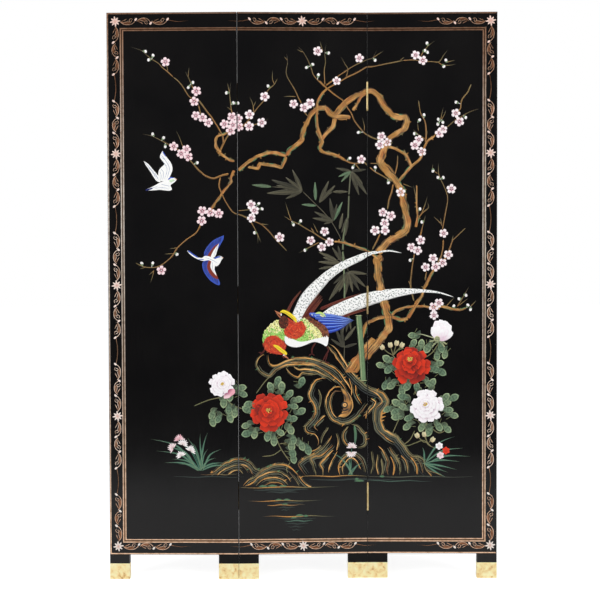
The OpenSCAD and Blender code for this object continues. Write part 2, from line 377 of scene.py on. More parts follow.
def lay_on_panels(name, meshes, slide=(0.0, 0.0)):
    """Cuts flat work at the seams, closes the cuts, and lays each panel's share on its front face. The work
    may first slide across and up."""
    for number, panel in enumerate(PANELS):
        place, across, through, angle = panel_place(panel)
        middle = (number - 1) * pitch
        reach = across / 2 - seam_edge * MM
        share = bmesh.new()
        for mesh in meshes:
            share.from_mesh(mesh)
        bmesh.ops.translate(share, verts=share.verts[:], vec=(slide[0] * MM, 0, slide[1] * MM))
        for side in (-1, 1):
            bmesh.ops.bisect_plane(
                share, geom=share.verts[:] + share.edges[:] + share.faces[:], dist=1e-8,
                plane_co=(middle + side * reach, 0, 0), plane_no=(side, 0, 0), clear_outer=True,
            )
            open_edges = [line for line in share.edges if line.is_boundary]
            bmesh.ops.holes_fill(share, edges=open_edges, sides=0)
        if share.faces:
            move = (
                Matrix.Translation((place.x, place.y, 0)) @ Matrix.Rotation(angle, 4, "Z")
                @ Matrix.Translation((-middle, -through / 2, 0))
            )
            bmesh.ops.transform(share, matrix=move, verts=share.verts[:])
            laid = bpy.data.meshes.new(f"{panel}_{name}")
            share.to_mesh(laid)
            for material in meshes[0].materials:
                laid.materials.append(material)
            piece = bpy.data.objects.new(f"{panel}_{name}", laid)
            bpy.context.scene.collection.objects.link(piece)
            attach(piece, panel)
        share.free()


def gilt_ring(sides, low, high, width, tint, slide=0.0, right_side=True):
    """One rectangular line with eased edges; sides, low and high are its outer edge. The gilding is painted
    pale on its uprights, as a painted reflection, and browner along the top, as painted shade, and the line
    may leave out its right side."""
    eased = lift * 0.4
    section = ((0, -sink), (0, eased), (ease, lift), (width - ease, lift), (width, eased), (width, -sink))
    corners = []
    for inset, out in section:
        reach = sides - inset
        for x, z in (
            (-reach, low + inset), (reach, low + inset), (reach, painted_sheen_height),
            (reach, high - inset), (-reach, high - inset), (-reach, painted_sheen_height),
        ):
            corners.append((x + slide, out, z))
    faces = []
    for ring in range(6):
        for corner in range(6):
            if right_side or corner not in (1, 2):
                faces.append((
                    ring * 6 + corner, ring * 6 + (corner + 1) % 6,
                    (ring + 1) % 6 * 6 + (corner + 1) % 6, (ring + 1) % 6 * 6 + corner,
                ))
    if not right_side:
        faces.append(tuple(ring * 6 + 1 for ring in reversed(range(6))))
        faces.append(tuple(ring * 6 + 3 for ring in range(6)))
    # Painted light in the line's colours: browner at the top as painted shade, paler on the uprights as a
    # painted reflection.
    painted_shade_tint = tuple(part * fade for part, fade in zip(tint, (0.48, 0.40, 0.36, 1)))
    pale = tuple(min(1, part * gain) for part, gain in zip(tint, (1.15, 1.5, 1.95, 1)))
    return flat_mesh("gilt_line", corners, faces, [tint, tint, pale, painted_shade_tint, painted_shade_tint, pale] * 6, gilt)


def worn_paint(tree, wear, worn):
    """The paint stored on a piece, brought towards a worn shade of itself where wear is high."""
    colour = new_node(tree, "ShaderNodeAttribute", attribute_name="paint").outputs["Color"]
    return new_node(
        tree, "ShaderNodeMix", {"Factor": wear, "A": colour, "B": worn}, data_type="RGBA",
        blend_type="MULTIPLY",
    ).outputs["Result"]


gilt, tree, output = new_material("copper_gilt")
finish(
    tree, output,
    worn_paint(tree, span(tree, noise(tree, 90, 5), 0.0, 0.75, 0.45, 0.75), (0.45, 0.33, 0.24, 1)),
    span(tree, noise(tree, 300, 3), 0.26, 0.48), [(noise(tree, 600, 3), 0.00006)], Metallic=0.85,
)
lines = [gilt_ring(
    board_half - outer_inset, board_low + outer_inset, board_high - outer_inset, outer_width, gilt_bright,
    right_side=False,
)]
for side, foot, head, tint in inner_lines:
    lines.append(gilt_ring(
        board_half - side, board_low + foot, board_high - head, inner_width, tint, border_slide,
    ))
lay_on_panels("gilt_lines", lines)


# Border ornament
# Scrolls of copper gilt run both ways from white rosettes, between the gilt lines. They are laid
# on with a fine brush: three volutes, a thin tendril, and a white bud where two volutes meet.
stem_copper = (0.86, 0.60, 0.44, 1)
curl_brown = (0.46, 0.23, 0.12, 1)
wash_brown = (0.26, 0.11, 0.055, 1)
rosette_inset = 28.5
rosette_drop = 1.5
side_inset = 24.5
rosette_rows = 4
rosette_petals = 8
petal_wide, petal_long, heart_wide = 5.0, 17.4, 2.6
# Colour factors for the scrolls at each row of rosettes, from the foot to the head: paler in the middle rows
# as a painted reflection and darker at the top as painted shade.
scroll_painted_light = (
    (0.92, 0.88, 0.86, 1),
    (1.1, 1.25, 1.4, 1),
    (1.1, 1.25, 1.4, 1),
    (0.86, 0.86, 0.88, 1),
    (0.56, 0.5, 0.46, 1),
)


def paint(red, green, blue):
    """A paint as a surface takes it, from how it looks on a screen, 0 to 255."""
    return tuple(((part / 255 + 0.055) / 1.055) ** 2.4 for part in (red, green, blue)) + (1.0,)


rosette_white = paint(246, 236, 228)
rosette_pink = paint(226, 170, 150)


def geometry_tree(name, *inputs):
    """An empty tree of geometry nodes with named inputs after its geometry."""
    tree = bpy.data.node_groups.new(name, "GeometryNodeTree")
    tree.interface.new_socket("Geometry", in_out="INPUT", socket_type="NodeSocketGeometry")
    for label, kind in inputs:
        tree.interface.new_socket(label, in_out="INPUT", socket_type=f"NodeSocket{kind}")
    tree.interface.new_socket("Geometry", in_out="OUTPUT", socket_type="NodeSocketGeometry")
    return tree, tree.nodes.new("NodeGroupInput"), tree.nodes.new("NodeGroupOutput")


def attribute(tree, name, kind="FLOAT"):
    """A value that was stored on each point."""
    return new_node(
        tree, "GeometryNodeInputNamedAttribute", {"Name": name}, data_type=kind,
    ).outputs["Attribute"]


def depth_moved(tree, geometry, depth, chosen=True):
    """Geometry with its depth, out of the face, put to a new value on its chosen points."""
    place = new_node(tree, "GeometryNodeInputPosition").outputs[0]
    apart = new_node(tree, "ShaderNodeSeparateXYZ", {0: place}).outputs
    joined = new_node(
        tree, "ShaderNodeCombineXYZ", {"X": apart["X"], "Y": depth(apart["Y"]), "Z": apart["Z"]},
    )
    return new_node(tree, "GeometryNodeSetPosition", {
        "Geometry": geometry, "Position": joined.outputs[0], "Selection": chosen,
    }).outputs["Geometry"]


def finished(tree, geometry, given, result):
    """Ends a tree: instances made real, and the paint put on."""
    real = new_node(tree, "GeometryNodeRealizeInstances", {"Geometry": geometry}).outputs[0]
    painted = new_node(
        tree, "GeometryNodeSetMaterial", {"Geometry": real, "Material": given.outputs["Paint"]},
    )
    tree.links.new(painted.outputs[0], result.inputs["Geometry"])


# Strokes: each line of points becomes a flattened tube, as high as "rise" and as wide as "half"
# twice over, with its back pressed into the lacquer.
brush, given, result = geometry_tree("brush", ("Sides", "Int"), ("Sink", "Float"), ("Paint", "Material"))
line = new_node(brush, "GeometryNodeMeshToCurve", {"Mesh": given.outputs["Geometry"]})
bristles = new_node(
    brush, "GeometryNodeCurvePrimitiveCircle", {"Radius": 1.0, "Resolution": given.outputs["Sides"]},
)
tube = new_node(brush, "GeometryNodeCurveToMesh", {
    "Fill Caps": True, "Curve": line.outputs["Curve"], "Profile Curve": bristles.outputs["Curve"],
    "Scale": attribute(brush, "half"),
})


def flattened(depth):
    """Depth of a tube's point after the tube is pressed flat."""
    base = attribute(brush, "base")
    above = reckoned(brush, "SUBTRACT", depth, base)
    thin = reckoned(brush, "DIVIDE", attribute(brush, "rise"), attribute(brush, "half"))
    front = reckoned(brush, "ADD", base, reckoned(brush, "MULTIPLY", above, thin))
    behind = reckoned(brush, "GREATER_THAN", above, 1e-6)
    back = reckoned(brush, "MULTIPLY", behind, given.outputs["Sink"])
    kept = reckoned(brush, "MULTIPLY", front, reckoned(brush, "SUBTRACT", 1.0, behind))
    return reckoned(brush, "ADD", kept, back)


finished(brush, depth_moved(brush, tube.outputs["Mesh"], flattened), given, result)

# Dabs: a shaped dab of paint is set down at each point, turned, sized and tinted by what the
# point carries, with its foot pressed into the lacquer.
scatter, given_dab, result = geometry_tree(
    "scatter", ("Dab", "Object"), ("Sink", "Float"), ("Paint", "Material"),
)
shaped = new_node(scatter, "GeometryNodeObjectInfo", {"Object": given_dab.outputs["Dab"]})
clockwise = reckoned(scatter, "MULTIPLY", attribute(scatter, "turn"), -1.0)
about = new_node(scatter, "ShaderNodeCombineXYZ", {"Y": clockwise})
size = new_node(scatter, "ShaderNodeCombineXYZ", {
    "X": attribute(scatter, "wide"), "Y": attribute(scatter, "rise"), "Z": attribute(scatter, "long"),
})
dabs_on = new_node(scatter, "GeometryNodeInstanceOnPoints", {
    "Points": given_dab.outputs["Geometry"], "Instance": shaped.outputs["Geometry"],
    "Rotation": about.outputs[0], "Scale": size.outputs[0],
})
real = new_node(scatter, "GeometryNodeRealizeInstances", {"Geometry": dabs_on.outputs["Instances"]})
blend = new_node(scatter, "ShaderNodeVectorMath", {
    0: attribute(scatter, "tint", "FLOAT_COLOR"), 1: attribute(scatter, "tone", "FLOAT_COLOR"),
}, operation="MULTIPLY")
tinted = new_node(scatter, "GeometryNodeStoreNamedAttribute", {
    "Name": "paint", "Geometry": real.outputs["Geometry"], "Value": blend.outputs[0],
}, data_type="FLOAT_COLOR", domain="POINT")
at_foot = reckoned(scatter, "GREATER_THAN", attribute(scatter, "foot"), 0.5)
set_down = depth_moved(
    scatter, tinted.outputs["Geometry"], lambda depth: given_dab.outputs["Sink"], at_foot,
)
finished(scatter, set_down, given_dab, result)


def made_by(tree, mesh, inputs):
    """The plain mesh that a tree makes of a mesh, with only its paint stored on it."""
    holder = bpy.data.objects.new("holder", mesh)
    bpy.context.scene.collection.objects.link(holder)
    modifier = holder.modifiers.new(tree.name, "NODES")
    modifier.node_group = tree
    for socket in tree.interface.items_tree:
        if socket.in_out == "INPUT" and socket.name in inputs:
            modifier[socket.identifier] = inputs[socket.name]
    plain = bpy.data.meshes.new_from_object(holder.evaluated_get(bpy.context.evaluated_depsgraph_get()))
    holder.modifiers.remove(modifier)
    bpy.data.objects.remove(holder)
    for name in ("half", "rise", "base", "turn", "wide", "long", "tint", "tone", "foot"):
        if name in plain.attributes:
            plain.attributes.remove(plain.attributes[name])
    plain.shade_smooth()
    return plain


def stored(mesh, name, kind, values):
    """Stores one value for each point of a mesh."""
    mesh.attributes.new(name, kind, "POINT")
    mesh.attributes[name].data.foreach_set("color" if kind == "FLOAT_COLOR" else "value", values)


def smooth(points, step=5.0):
    """Points every few millimetres along a smooth curve through the given ones."""
    ends = [points[0], *points, points[-1]]
    path = []
    for before, start, end, after in zip(ends, ends[1:], ends[2:], ends[3:]):
        count = max(1, round(math.dist(start[:2], end[:2]) / step))
        for k in range(count):
            t = k / count
            path.append(tuple(
                0.5 * (2 * b + (c - a) * t + (2 * a - 5 * b + 4 * c - d) * t * t
                       + (3 * b - a - 3 * c + d) * t**3)
                for a, b, c, d in zip(before, start, end, after)
            ))
    return [*path, points[-1]]


def mixed(first, second, share):
    """A colour between two."""
    return tuple(a + (b - a) * share for a, b in zip(first, second))


def stroke(work, points, width, tint, rise=0.2, ends=(0.25, 0.25), out=0.0, step=5.0):
    """Adds a brush stroke through (across, up) points. Width is one number or one for each point, tint one
    colour or a row of colours that it runs through, and ends the shares over which the stroke thins out."""
    thinnest, taper = 0.12, 0.7
    widths = width if isinstance(width, (tuple, list)) else [width] * len(points)
    tints = tint if isinstance(tint[0], tuple) else (tint, tint)
    path = smooth([(u, z, wide) for (u, z), wide in zip(points, widths)], step)
    for k, (u, z, wide) in enumerate(path):
        along = k / (len(path) - 1)
        for end, distance in zip(ends, (along, 1 - along)):
            if end:
                wide *= min(1.0, distance / end) ** taper
        spot = along * (len(tints) - 1)
        first = min(int(spot), len(tints) - 2)
        colour = mixed(tints[first], tints[first + 1], spot - first)
        work.append((u, z, out, max(wide / 2, thinnest), rise, colour, k > 0))


def brushed(work, material, sides=6):
    """The flat mesh of a list of strokes."""
    mesh = bpy.data.meshes.new("strokes")
    places = [(u * MM, -out * MM, z * MM) for u, z, out, *_ in work]
    mesh.from_pydata(places, [(k - 1, k) for k, (*_, joined) in enumerate(work) if joined], [])
    for name, values in (("base", [-point[2] for point in work]), ("half", [point[3] for point in work]),
                         ("rise", [point[4] for point in work])):
        stored(mesh, name, "FLOAT", [value * MM for value in values])
    stored(mesh, "paint", "FLOAT_COLOR", [part for point in work for part in point[5]])
    return made_by(brush, mesh, {"Sides": sides, "Sink": sink * MM, "Paint": material})


def dab(work, u, z, turn, wide, long, tint, rise=0.3, out=0.0):
    """Adds a dab at a place; turn is anticlockwise, in degrees, from upright."""
    work.append((u, z, out, math.radians(turn), wide, long, rise, tint))


def dabbed(work, shape, material):
    """The flat mesh of a list of dabs of one shape."""
    mesh = bpy.data.meshes.new("dabs")
    mesh.from_pydata([(u * MM, -out * MM, z * MM) for u, z, out, *_ in work], [], [])
    stored(mesh, "turn", "FLOAT", [point[3] for point in work])
    for place, name in ((4, "wide"), (5, "long"), (6, "rise")):
        stored(mesh, name, "FLOAT", [point[place] * MM for point in work])
    stored(mesh, "tint", "FLOAT_COLOR", [part for point in work for part in point[7]])
    holder = bpy.data.objects.new("dab", shape)
    bpy.context.scene.collection.objects.link(holder)
    made = made_by(scatter, mesh, {"Dab": holder, "Sink": sink * MM, "Paint": material})
    bpy.data.objects.remove(holder)
    return made


def dab_shape(sides, outline, tone, rings=((1.0, 0.3), (0.72, 0.8), (0.38, 0.97)), middle=(0.0, 0.0)):
    """A domed dab of unit size. outline(angle) gives (across, up), tone(across, up, share) its shade, where
    share is 1 at the outline and 0 in the middle; each ring is a share of the outline and its height."""
    corners, tones, feet = [], [], []
    for level, (share, height) in enumerate(((1.0, 0.0), *rings)):
        for side in range(sides):
            across, up = outline(2 * math.pi * side / sides)
            across = middle[0] + (across - middle[0]) * share
            up = middle[1] + (up - middle[1]) * share
            corners.append((across, -height, up))
            tones.extend(tone(across, up, share))
            feet.append(float(level == 0))
    corners.append((middle[0], -1.0, middle[1]))
    tones.extend(tone(*middle, 0.0))
    feet.append(0.0)
    faces = [tuple(reversed(range(sides)))]
    for level in range(len(rings)):
        for side in range(sides):
            low, turn_on = level * sides, (side + 1) % sides
            faces.append((low + side, low + turn_on, low + sides + turn_on, low + sides + side))
    top = len(rings) * sides
    for side in range(sides):
        faces.append((top + side, top + (side + 1) % sides, len(corners) - 1))
    mesh = bpy.data.meshes.new("dab_shape")
    mesh.from_pydata(corners, [], faces)
    stored(mesh, "tone", "FLOAT_COLOR", tones)
    stored(mesh, "foot", "FLOAT", feet)
    return mesh


white = (1.0, 1.0, 1.0, 1.0)
round_dab = dab_shape(8, lambda a: (math.cos(a), math.sin(a)), lambda u, z, share: white)
slim_dab = dab_shape(
    8, lambda a: (0.5 * math.cos(a) * (1.2 - 0.4 * math.sin(a)), 0.5 + 0.5 * math.sin(a)),
    lambda u, z, share: mixed((0.75, 0.62, 0.6, 1), white, min(1, z * 1.6)), middle=(0, 0.5),
)


def off(place, reach, angle, squash=1.0):
    """A place at a distance from another, in a direction given in radians."""
    return place[0] + reach * math.cos(angle), place[1] + reach * math.sin(angle) * squash


def spiral(place, radius, start, turns, shrink=0.22):
    """Points on a curl that winds inwards; angles in degrees, turns may be negative."""
    count = max(8, round(abs(turns) * 14))
    shares = [k / count for k in range(count + 1)]
    return [
        off(place, radius * (1 - (1 - shrink) * share), math.radians(start) + 2 * math.pi * turns * share)
        for share in shares
    ]


# The strokes and buds of one scroll that runs to the right from a rosette. In each lobe a brown wash
# lies under an arch that curls into a volute, with two side sprays, and a bud beyond it. Lobes are
# (start, end, side), and shapes are (share of the lobe's length, distance to its side).
lobes = ((15, 66, -1), (70, 114, 1), (118, 168, -1))
wash = (0.04, 1.5), (0.25, 5.5), (0.5, 6.5), (0.72, 3.5)
arch = (0, -1), (0.2, 7.5), (0.48, 10.5), (0.74, 8.5), (0.92, 2), (1.0, -5)
outer_spray = (0.1, 1), (0.3, -4), (0.46, -8)
inner_spray = (0.2, 4), (0.45, 1), (0.6, -1)
tendril = (170, 4), (186, 1), (204, -1.5), (220, 0), (236, 1)
scroll_lines, scroll_buds = [], []
for start, end, side in lobes:
    long = end - start
    volute = spiral((start + 0.70 * long, -side * 2.2), 7.4, -side * 20, -side * 1.15)
    laid = [
        [(start + long * u, side * z) for u, z in shape]
        for shape in (wash, arch, outer_spray, inner_spray)
    ]
    stroke(scroll_lines, laid[0], (4, 7.5, 8, 5), (curl_brown, wash_brown, curl_brown), 0.12, step=4)
    stroke(scroll_lines, laid[1], 2.1, stem_copper, ends=(0.05, 0.1), step=3)
    stroke(scroll_lines, volute, 1.7, stem_copper, ends=(0.1, 0.1), out=0.05, step=3)
    stroke(scroll_lines, laid[2], 2.2, (curl_brown, stem_copper), ends=(0.2, 0.3), step=3)
    stroke(scroll_lines, laid[3], 1.8, stem_copper, ends=(0.3, 0.3), out=0.05, step=3)
    scroll_buds.append((end + 1, -side * 6.2))
stroke(scroll_lines, tendril, (1.8, 1.5, 1.2, 0.9, 0.6), (curl_brown, gilt_brown), ends=(0.02, 0.3), step=6)


def border_places():
    """Where each rosette is, and the headings in which scrolls leave it."""
    across = board_half - side_inset
    top = board_high - rosette_inset
    bottom = board_low + rosette_inset - rosette_drop
    for row in range(rosette_rows + 1):
        height = bottom + (top - bottom) * row / rosette_rows
        for side in (-1, 1):
            headings = [90] if row < rosette_rows else []
            headings += [-90] if row else []
            if row in (0, rosette_rows):
                headings.append(0 if side < 0 else 180)
            yield side * across + border_slide, height, headings
    for height in (bottom, top):
        yield 0, height, [0, 180]


border_lines, petals, hearts, buds = [], [], [], []
for u, z, headings in border_places():
    fade = (z - board_low) / (board_high - board_low)
    # The scrolls at this height take that row's painted reflection or painted shade.
    dim = scroll_painted_light[round(fade * rosette_rows)]
    pale = mixed(rosette_white, rosette_pink, 0.5 * fade)
    for petal in range(rosette_petals):
        turned = 360 / rosette_petals * petal + 8
        dab(petals, u, z, turned, petal_wide, petal_long - 1.6 * (petal % 2), pale, 0.5)
    dab(hearts, u, z, 0, heart_wide, heart_wide, rosette_pink, 0.62)
    for heading in headings:
        way = -1 if heading in (180, -90) else 1
        angle = math.radians(heading if way == 1 else heading - 180)
        for across, up, out, half, rise, tint, joined in scroll_lines:
            place = off(off((u, z), way * across, angle), up, angle + math.pi / 2)
            shade = tuple(part * share for part, share in zip(tint, dim))
            border_lines.append((*place, out, half, rise, shade, joined))
        for across, up in scroll_buds:
            place = off(off((u, z), way * across, angle), up, angle + math.pi / 2)
            dab(buds, *place, heading - way * 40, 3.4, 5.6, pale, 0.45)

relief_white, tree, output = new_material("border_white")
aged = worn_paint(tree, span(tree, noise(tree, 160, 4), 0.0, 0.5, 0.45, 0.8), (0.75, 0.62, 0.52, 1))
finish(tree, output, aged, 0.42, [(noise(tree, 900, 3), 0.00008)], Specular_IOR_Level=0.4)

lay_on_panels("border_scrolls", [brushed(border_lines, gilt)])
lay_on_panels("border_rosettes", [
    dabbed(petals, slim_dab, relief_white), dabbed(hearts + buds, round_dab, relief_white),
])


# Painted ground and water
# The picture is painted in thick body colour on the finished lacquer, so every stroke stands out
# a little. First come the shore, thin streaks for the water, and low rocks drawn in contour lines.
ochre = paint(208, 147, 72)
ochre_dark = paint(112, 78, 44)
ochre_light = paint(238, 182, 108)
olive = paint(124, 116, 78)
moss = paint(84, 126, 86)
stone_green = paint(92, 94, 74)
stone_dim = paint(56, 62, 54)
stone_faint = paint(34, 40, 40)
water_green = paint(74, 106, 90)
water_dim = paint(40, 52, 48)
thinned = (0.42, 0.40, 0.40, 1)
picture_slide = (-2.0, 3.6)
hand_shake = 1.1
rock_spurs = 0.13
following_lines = (
    (-4.2, 0.45, mixed(olive, stone_dim, 0.4)), (6.6, 1.05, stone_green), (13.4, 1.0, stone_dim),
    (20.5, 0.9, stone_faint),
)
chance = random.Random(11)


def body_colour(name, worn=0.35, roughness=(0.34, 0.52), grain=500, depth=0.00006):
    """Thick paint: its colour as stored on the piece, thinner and darker in places, with brush marks."""
    material, tree, output = new_material(name)
    thin = span(tree, noise(tree, 210, 4, distortion=0.4), 0.0, worn, 0.45, 0.75)
    finish(
        tree, output, worn_paint(tree, thin, thinned), span(tree, noise(tree, 260, 3), *roughness),
        [(noise(tree, grain, 3), depth)], Specular_IOR_Level=0.4,
    )
    return material


def lay_picture(name, meshes):
    """Lays a part of the picture on the panels, slid a little from the places it was drawn at."""
    lay_on_panels(name, meshes, slide=picture_slide)


def pairs(numbers):
    """Places across and up, from one row of numbers."""
    return list(zip(numbers[::2], numbers[1::2]))


def beside(points, distance):
    """Points at a distance to the left of a line of points; distance may be one for each point."""
    reach = distance if isinstance(distance, list) else [distance] * len(points)
    moved = []
    for k, (u, z) in enumerate(points):
        before, after = points[max(k - 1, 0)], points[min(k + 1, len(points) - 1)]
        along = Vector((after[0] - before[0], after[1] - before[1])).normalized()
        moved.append((u - along.y * reach[k], z + along.x * reach[k]))
    return moved


def contour(work, inside, width, rows, *numbers):
    """A rock's edge: a line that swells and runs from olive to ochre and brown, a thin line of warm light
    inside it, softer lines that follow further in and fade into the black, and small spurs and moss.
    inside is 1 where the rock lies to the right of the line's run, -1 to the left."""
    path = [
        (u + chance.uniform(-hand_shake, hand_shake), z + chance.uniform(-hand_shake, hand_shake))
        for u, z in smooth(pairs(numbers), 11)
    ]
    count = len(path)
    warm = (olive, olive, ochre_dark, ochre, ochre, ochre_light)
    tones = [chance.choice(warm) for _ in range(max(2, count // 3))]
    stroke(work, path, [width * chance.uniform(0.45, 1.15) for _ in path], tones, 0.24, (0.1, 0.14))
    if count > 9:
        start = chance.randint(1, count // 3)
        part = beside(path, -inside * width * 0.45)[start:start + count // 2]
        stroke(work, part, 1.8, (ochre_light, olive, ochre_light), 0.26, (0.3, 0.3), out=0.04)
    for offset, share, colour in following_lines[:rows + 1]:
        start, end = chance.randint(0, count // 5), count - chance.randint(0, count // 5)
        part = beside(path, -inside * offset)[start:end]
        if len(part) > 2:
            widths = [width * share * chance.uniform(0.65, 1.15) for _ in part]
            stroke(work, part, widths, colour, 0.13, (0.25, 0.25))
    for k in range(1, count - 1):
        if chance.random() < rock_spurs and rows:
            tint = chance.choice((moss, ochre, olive))
            for slip in (-5, 0, 5):
                u, z = beside(path[k - 1:k + 2], inside * chance.uniform(4, 8))[1]
                stroke(work, [path[k], (u + slip, z + 0.5 * slip)], (3.4, 1.6), tint, 0.2, (0, 0.5), step=3)


# Streaks of shore and water: height, left and right end, width, tints. Ripples: place and width.
streaks = (
    (330, -20, 212, 3.4, (olive, ochre, olive)), (327, 196, 552, 3.4, (stone_green, stone_dim)),
    (318, 20, 300, 6, water_dim), (313, 214, 420, 4, (water_green, water_dim)),
    (338, -330, -210, 3, (ochre_dark, olive)), (330, -420, -190, 4, water_dim),
    (295, -205, 118, 3.8, (olive, ochre, olive, water_dim)), (287, -160, 20, 9, water_dim),
    (279, -120, -12, 6, water_dim), (251, -180, 64, 3.8, (water_dim, ochre, olive, water_dim)),
    (244, -100, 4, 6, water_dim), (237, -116, 10, 4.2, (ochre, stone_dim)),
    (229, -84, -24, 5, water_dim), (221, -72, -42, 4, water_dim),
    (200, -132, 108, 3.8, (water_dim, ochre, olive, water_dim)), (193, -80, 46, 6, water_dim),
    (185, -60, 34, 5, water_green), (176, -58, 22, 5, water_dim), (166, -48, 6, 4, water_dim),
    (156, -36, -6, 3.5, water_dim),
)
ripples = (
    (-128, 299, 30), (-98, 300, 34), (-64, 299, 26), (-78, 254, 26), (-52, 254, 26), (-58, 240, 20),
    (-10, 203, 28), (-28, 195, 22), (10, 201, 18), (184, 314, 34), (176, 320, 16), (258, 328, 18),
)
shore, rocks = [], []
for z, left, right, width, tints in streaks:
    long = right - left
    bend = [
        (left + long * k / 6, z + 1.6 * math.sin(2 * k + left) - 0.00022 * long * abs(k - 3))
        for k in range(7)
    ]
    stroke(shore, bend, width, tints, 0.13, (0.4, 0.45), step=10)
for u, z, wide in ripples:
    ripple = [(u - wide / 2, z - 1), (u, z), (u + wide / 2, z - 1)]
    stroke(shore, ripple, (5, 8, 5), (water_green, moss, water_green), 0.15, (0.3, 0.3))

# Each line of a rock: on which side its inside lies, its width, how many lines follow it, and its
# places across and up.
for row in (
    (1, 5, 2, -300, 338, -280, 352, -248, 375, -204, 389, -170, 376, -155, 356, -137, 348, -128, 334),
    (1, 4, 1, -276, 336, -250, 356, -214, 368, -190, 362, -176, 342),
    (1, 4.5, 0, -201, 371, -184, 366, -170, 352, -160, 338),
    (1, 4, 0, -240, 338, -222, 350, -206, 352, -194, 340),
    (1, 5.5, 2, -194, 299, -181, 315, -155, 330, -129, 351, -93, 367, -57, 367, -32, 352, -16, 334, -12,
     318),
    (1, 4.5, 1, -189, 299, -165, 310, -140, 330, -109, 344, -78, 344, -52, 331, -38, 314),
    (1, 4.5, 1, -152, 301, -129, 320, -98, 328, -68, 321, -46, 302),
    (1, 4, 0, -128, 300, -104, 310, -80, 310, -62, 300),
    (1, 4.5, 0, -44, 345, -27, 325, -11, 299),
    (1, 4.5, 1, -12, 332, 8, 305, 30, 295),
):
    contour(rocks, *row)

shore_paint = body_colour("shore_paint")
lay_picture("shore", [brushed(shore, shore_paint)])
lay_picture("low_rocks", [brushed(rocks, shore_paint)])


# Painted garden rock
# A hollowed garden rock of the kind scholars collected: black inside, its edges, holes and folds
# drawn in rows of ochre and grey-green lines that run down into the ground like roots.
crag = []
for row in (
    (1, 6, 3, 84, 762, 107, 745, 126, 717, 145, 688, 164, 661, 190, 636, 214, 618, 242, 606, 264, 597,
     277, 567, 262, 545, 255, 524, 257, 500, 266, 480, 287, 466, 307, 456, 329, 428, 350, 398, 378, 390,
     393, 380, 398, 354, 428, 341, 454, 329),
    (1, 4.5, 0, 82, 752, 104, 726, 134, 682, 151, 665),
    (1, 5, 1, 220, 609, 242, 596, 259, 572, 240, 550, 236, 526, 242, 484, 272, 453, 303, 436),
    (1, 4.5, 1, 221, 583, 238, 570, 222, 545, 196, 523),
    (1, 4, 0, 222, 560, 210, 540, 205, 515),
    (1, 5, 2, -39, 715, 9, 715, 48, 706, 87, 691, 113, 673, 134, 648, 151, 622, 164, 600),
    (1, 4.5, 1, -39, 700, 13, 700, 61, 683, 104, 652, 130, 626, 147, 596),
    (-1, 5.5, 0, -110, 725, -106, 697, -84, 690, -53, 705, -11, 712, 30, 711),
    (-1, 5.5, 1, -124, 728, -143, 713, -148, 690, -129, 666, -105, 657, -86, 676, -58, 690, -20, 694, 27,
     692, 60, 684),
    (1, 5, 1, -30, 691, -17, 678, 18, 678, 52, 669, 91, 648, 113, 630),
    (-1, 4.5, 0, -53, 683, -36, 663, -13, 652, 0, 665, 35, 661, 62, 664),
    (-1, 5, 2, 130, 618, 104, 618, 82, 596, 77, 561, 87, 527, 112, 505, 143, 501, 173, 518, 195, 544, 214,
     572),
    (1, 4, 0, 128, 604, 106, 606, 94, 590, 90, 560, 98, 534, 112, 520),
    (1, 4.5, 1, 172, 626, 176, 590, 192, 566),
    (1, 4, 0, 152, 648, 160, 612, 158, 590),
    (-1, 5.5, 1, 148, 492, 134, 470, 134, 445, 150, 428),
    (1, 5, 1, 158, 497, 176, 492, 195, 475, 207, 449, 199, 428, 177, 423),
    (-1, 5, 1, 121, 332, 117, 358, 134, 389, 160, 402, 186, 389, 199, 363, 204, 340),
    (-1, 4, 0, 132, 334, 130, 358, 144, 380, 160, 388, 178, 376, 188, 350),
    (-1, 5.5, 2, 74, 648, 43, 643, 26, 613, 22, 592, 35, 566, 43, 544, 39, 527, 22, 505, 9, 492, 13, 475,
     39, 466, 52, 445, 48, 428),
    (-1, 5, 0, 52, 613, 61, 579, 52, 544),
    (-1, 5, 1, 74, 527, 48, 505, 39, 488, 49, 478),
    (-1, 5.5, 0, 84, 490, 66, 458, 60, 436),
    (-1, 5, 2, 96, 462, 69, 423, 35, 401, 0, 384, -13, 367, 1, 345, 10, 332),
    (-1, 5.5, 1, 100, 432, 65, 401, 27, 389, 35, 367, 44, 332),
    (-1, 6, 1, 100, 415, 74, 389, 57, 367, 65, 354, 66, 332),
    (1, 4, 0, 112, 410, 92, 372, 82, 340),
    (1, 4, 0, 108, 470, 116, 440, 110, 412),
    (1, 5, 1, 246, 428, 264, 406, 277, 376, 272, 354, 279, 332),
    (1, 5.5, 0, 255, 386, 260, 352, 254, 332),
    (1, 6, 0, 285, 393, 298, 358, 294, 332),
    (1, 5, 1, 281, 424, 307, 384, 316, 354, 314, 334),
    (1, 5, 1, 320, 398, 337, 371, 342, 336),
    (1, 5, 1, 350, 390, 367, 367, 372, 334),
    (1, 4.5, 0, 366, 392, 384, 366, 390, 338),
    (1, 4, 0, 244, 400, 240, 366, 246, 334),
    (1, 4, 0, 398, 352, 410, 340, 420, 328),
    (1, 4.5, 0, 60, 432, 44, 416, 20, 408),
    (1, 4, 0, 222, 410, 228, 372, 222, 336),
):
    contour(crag, *row)

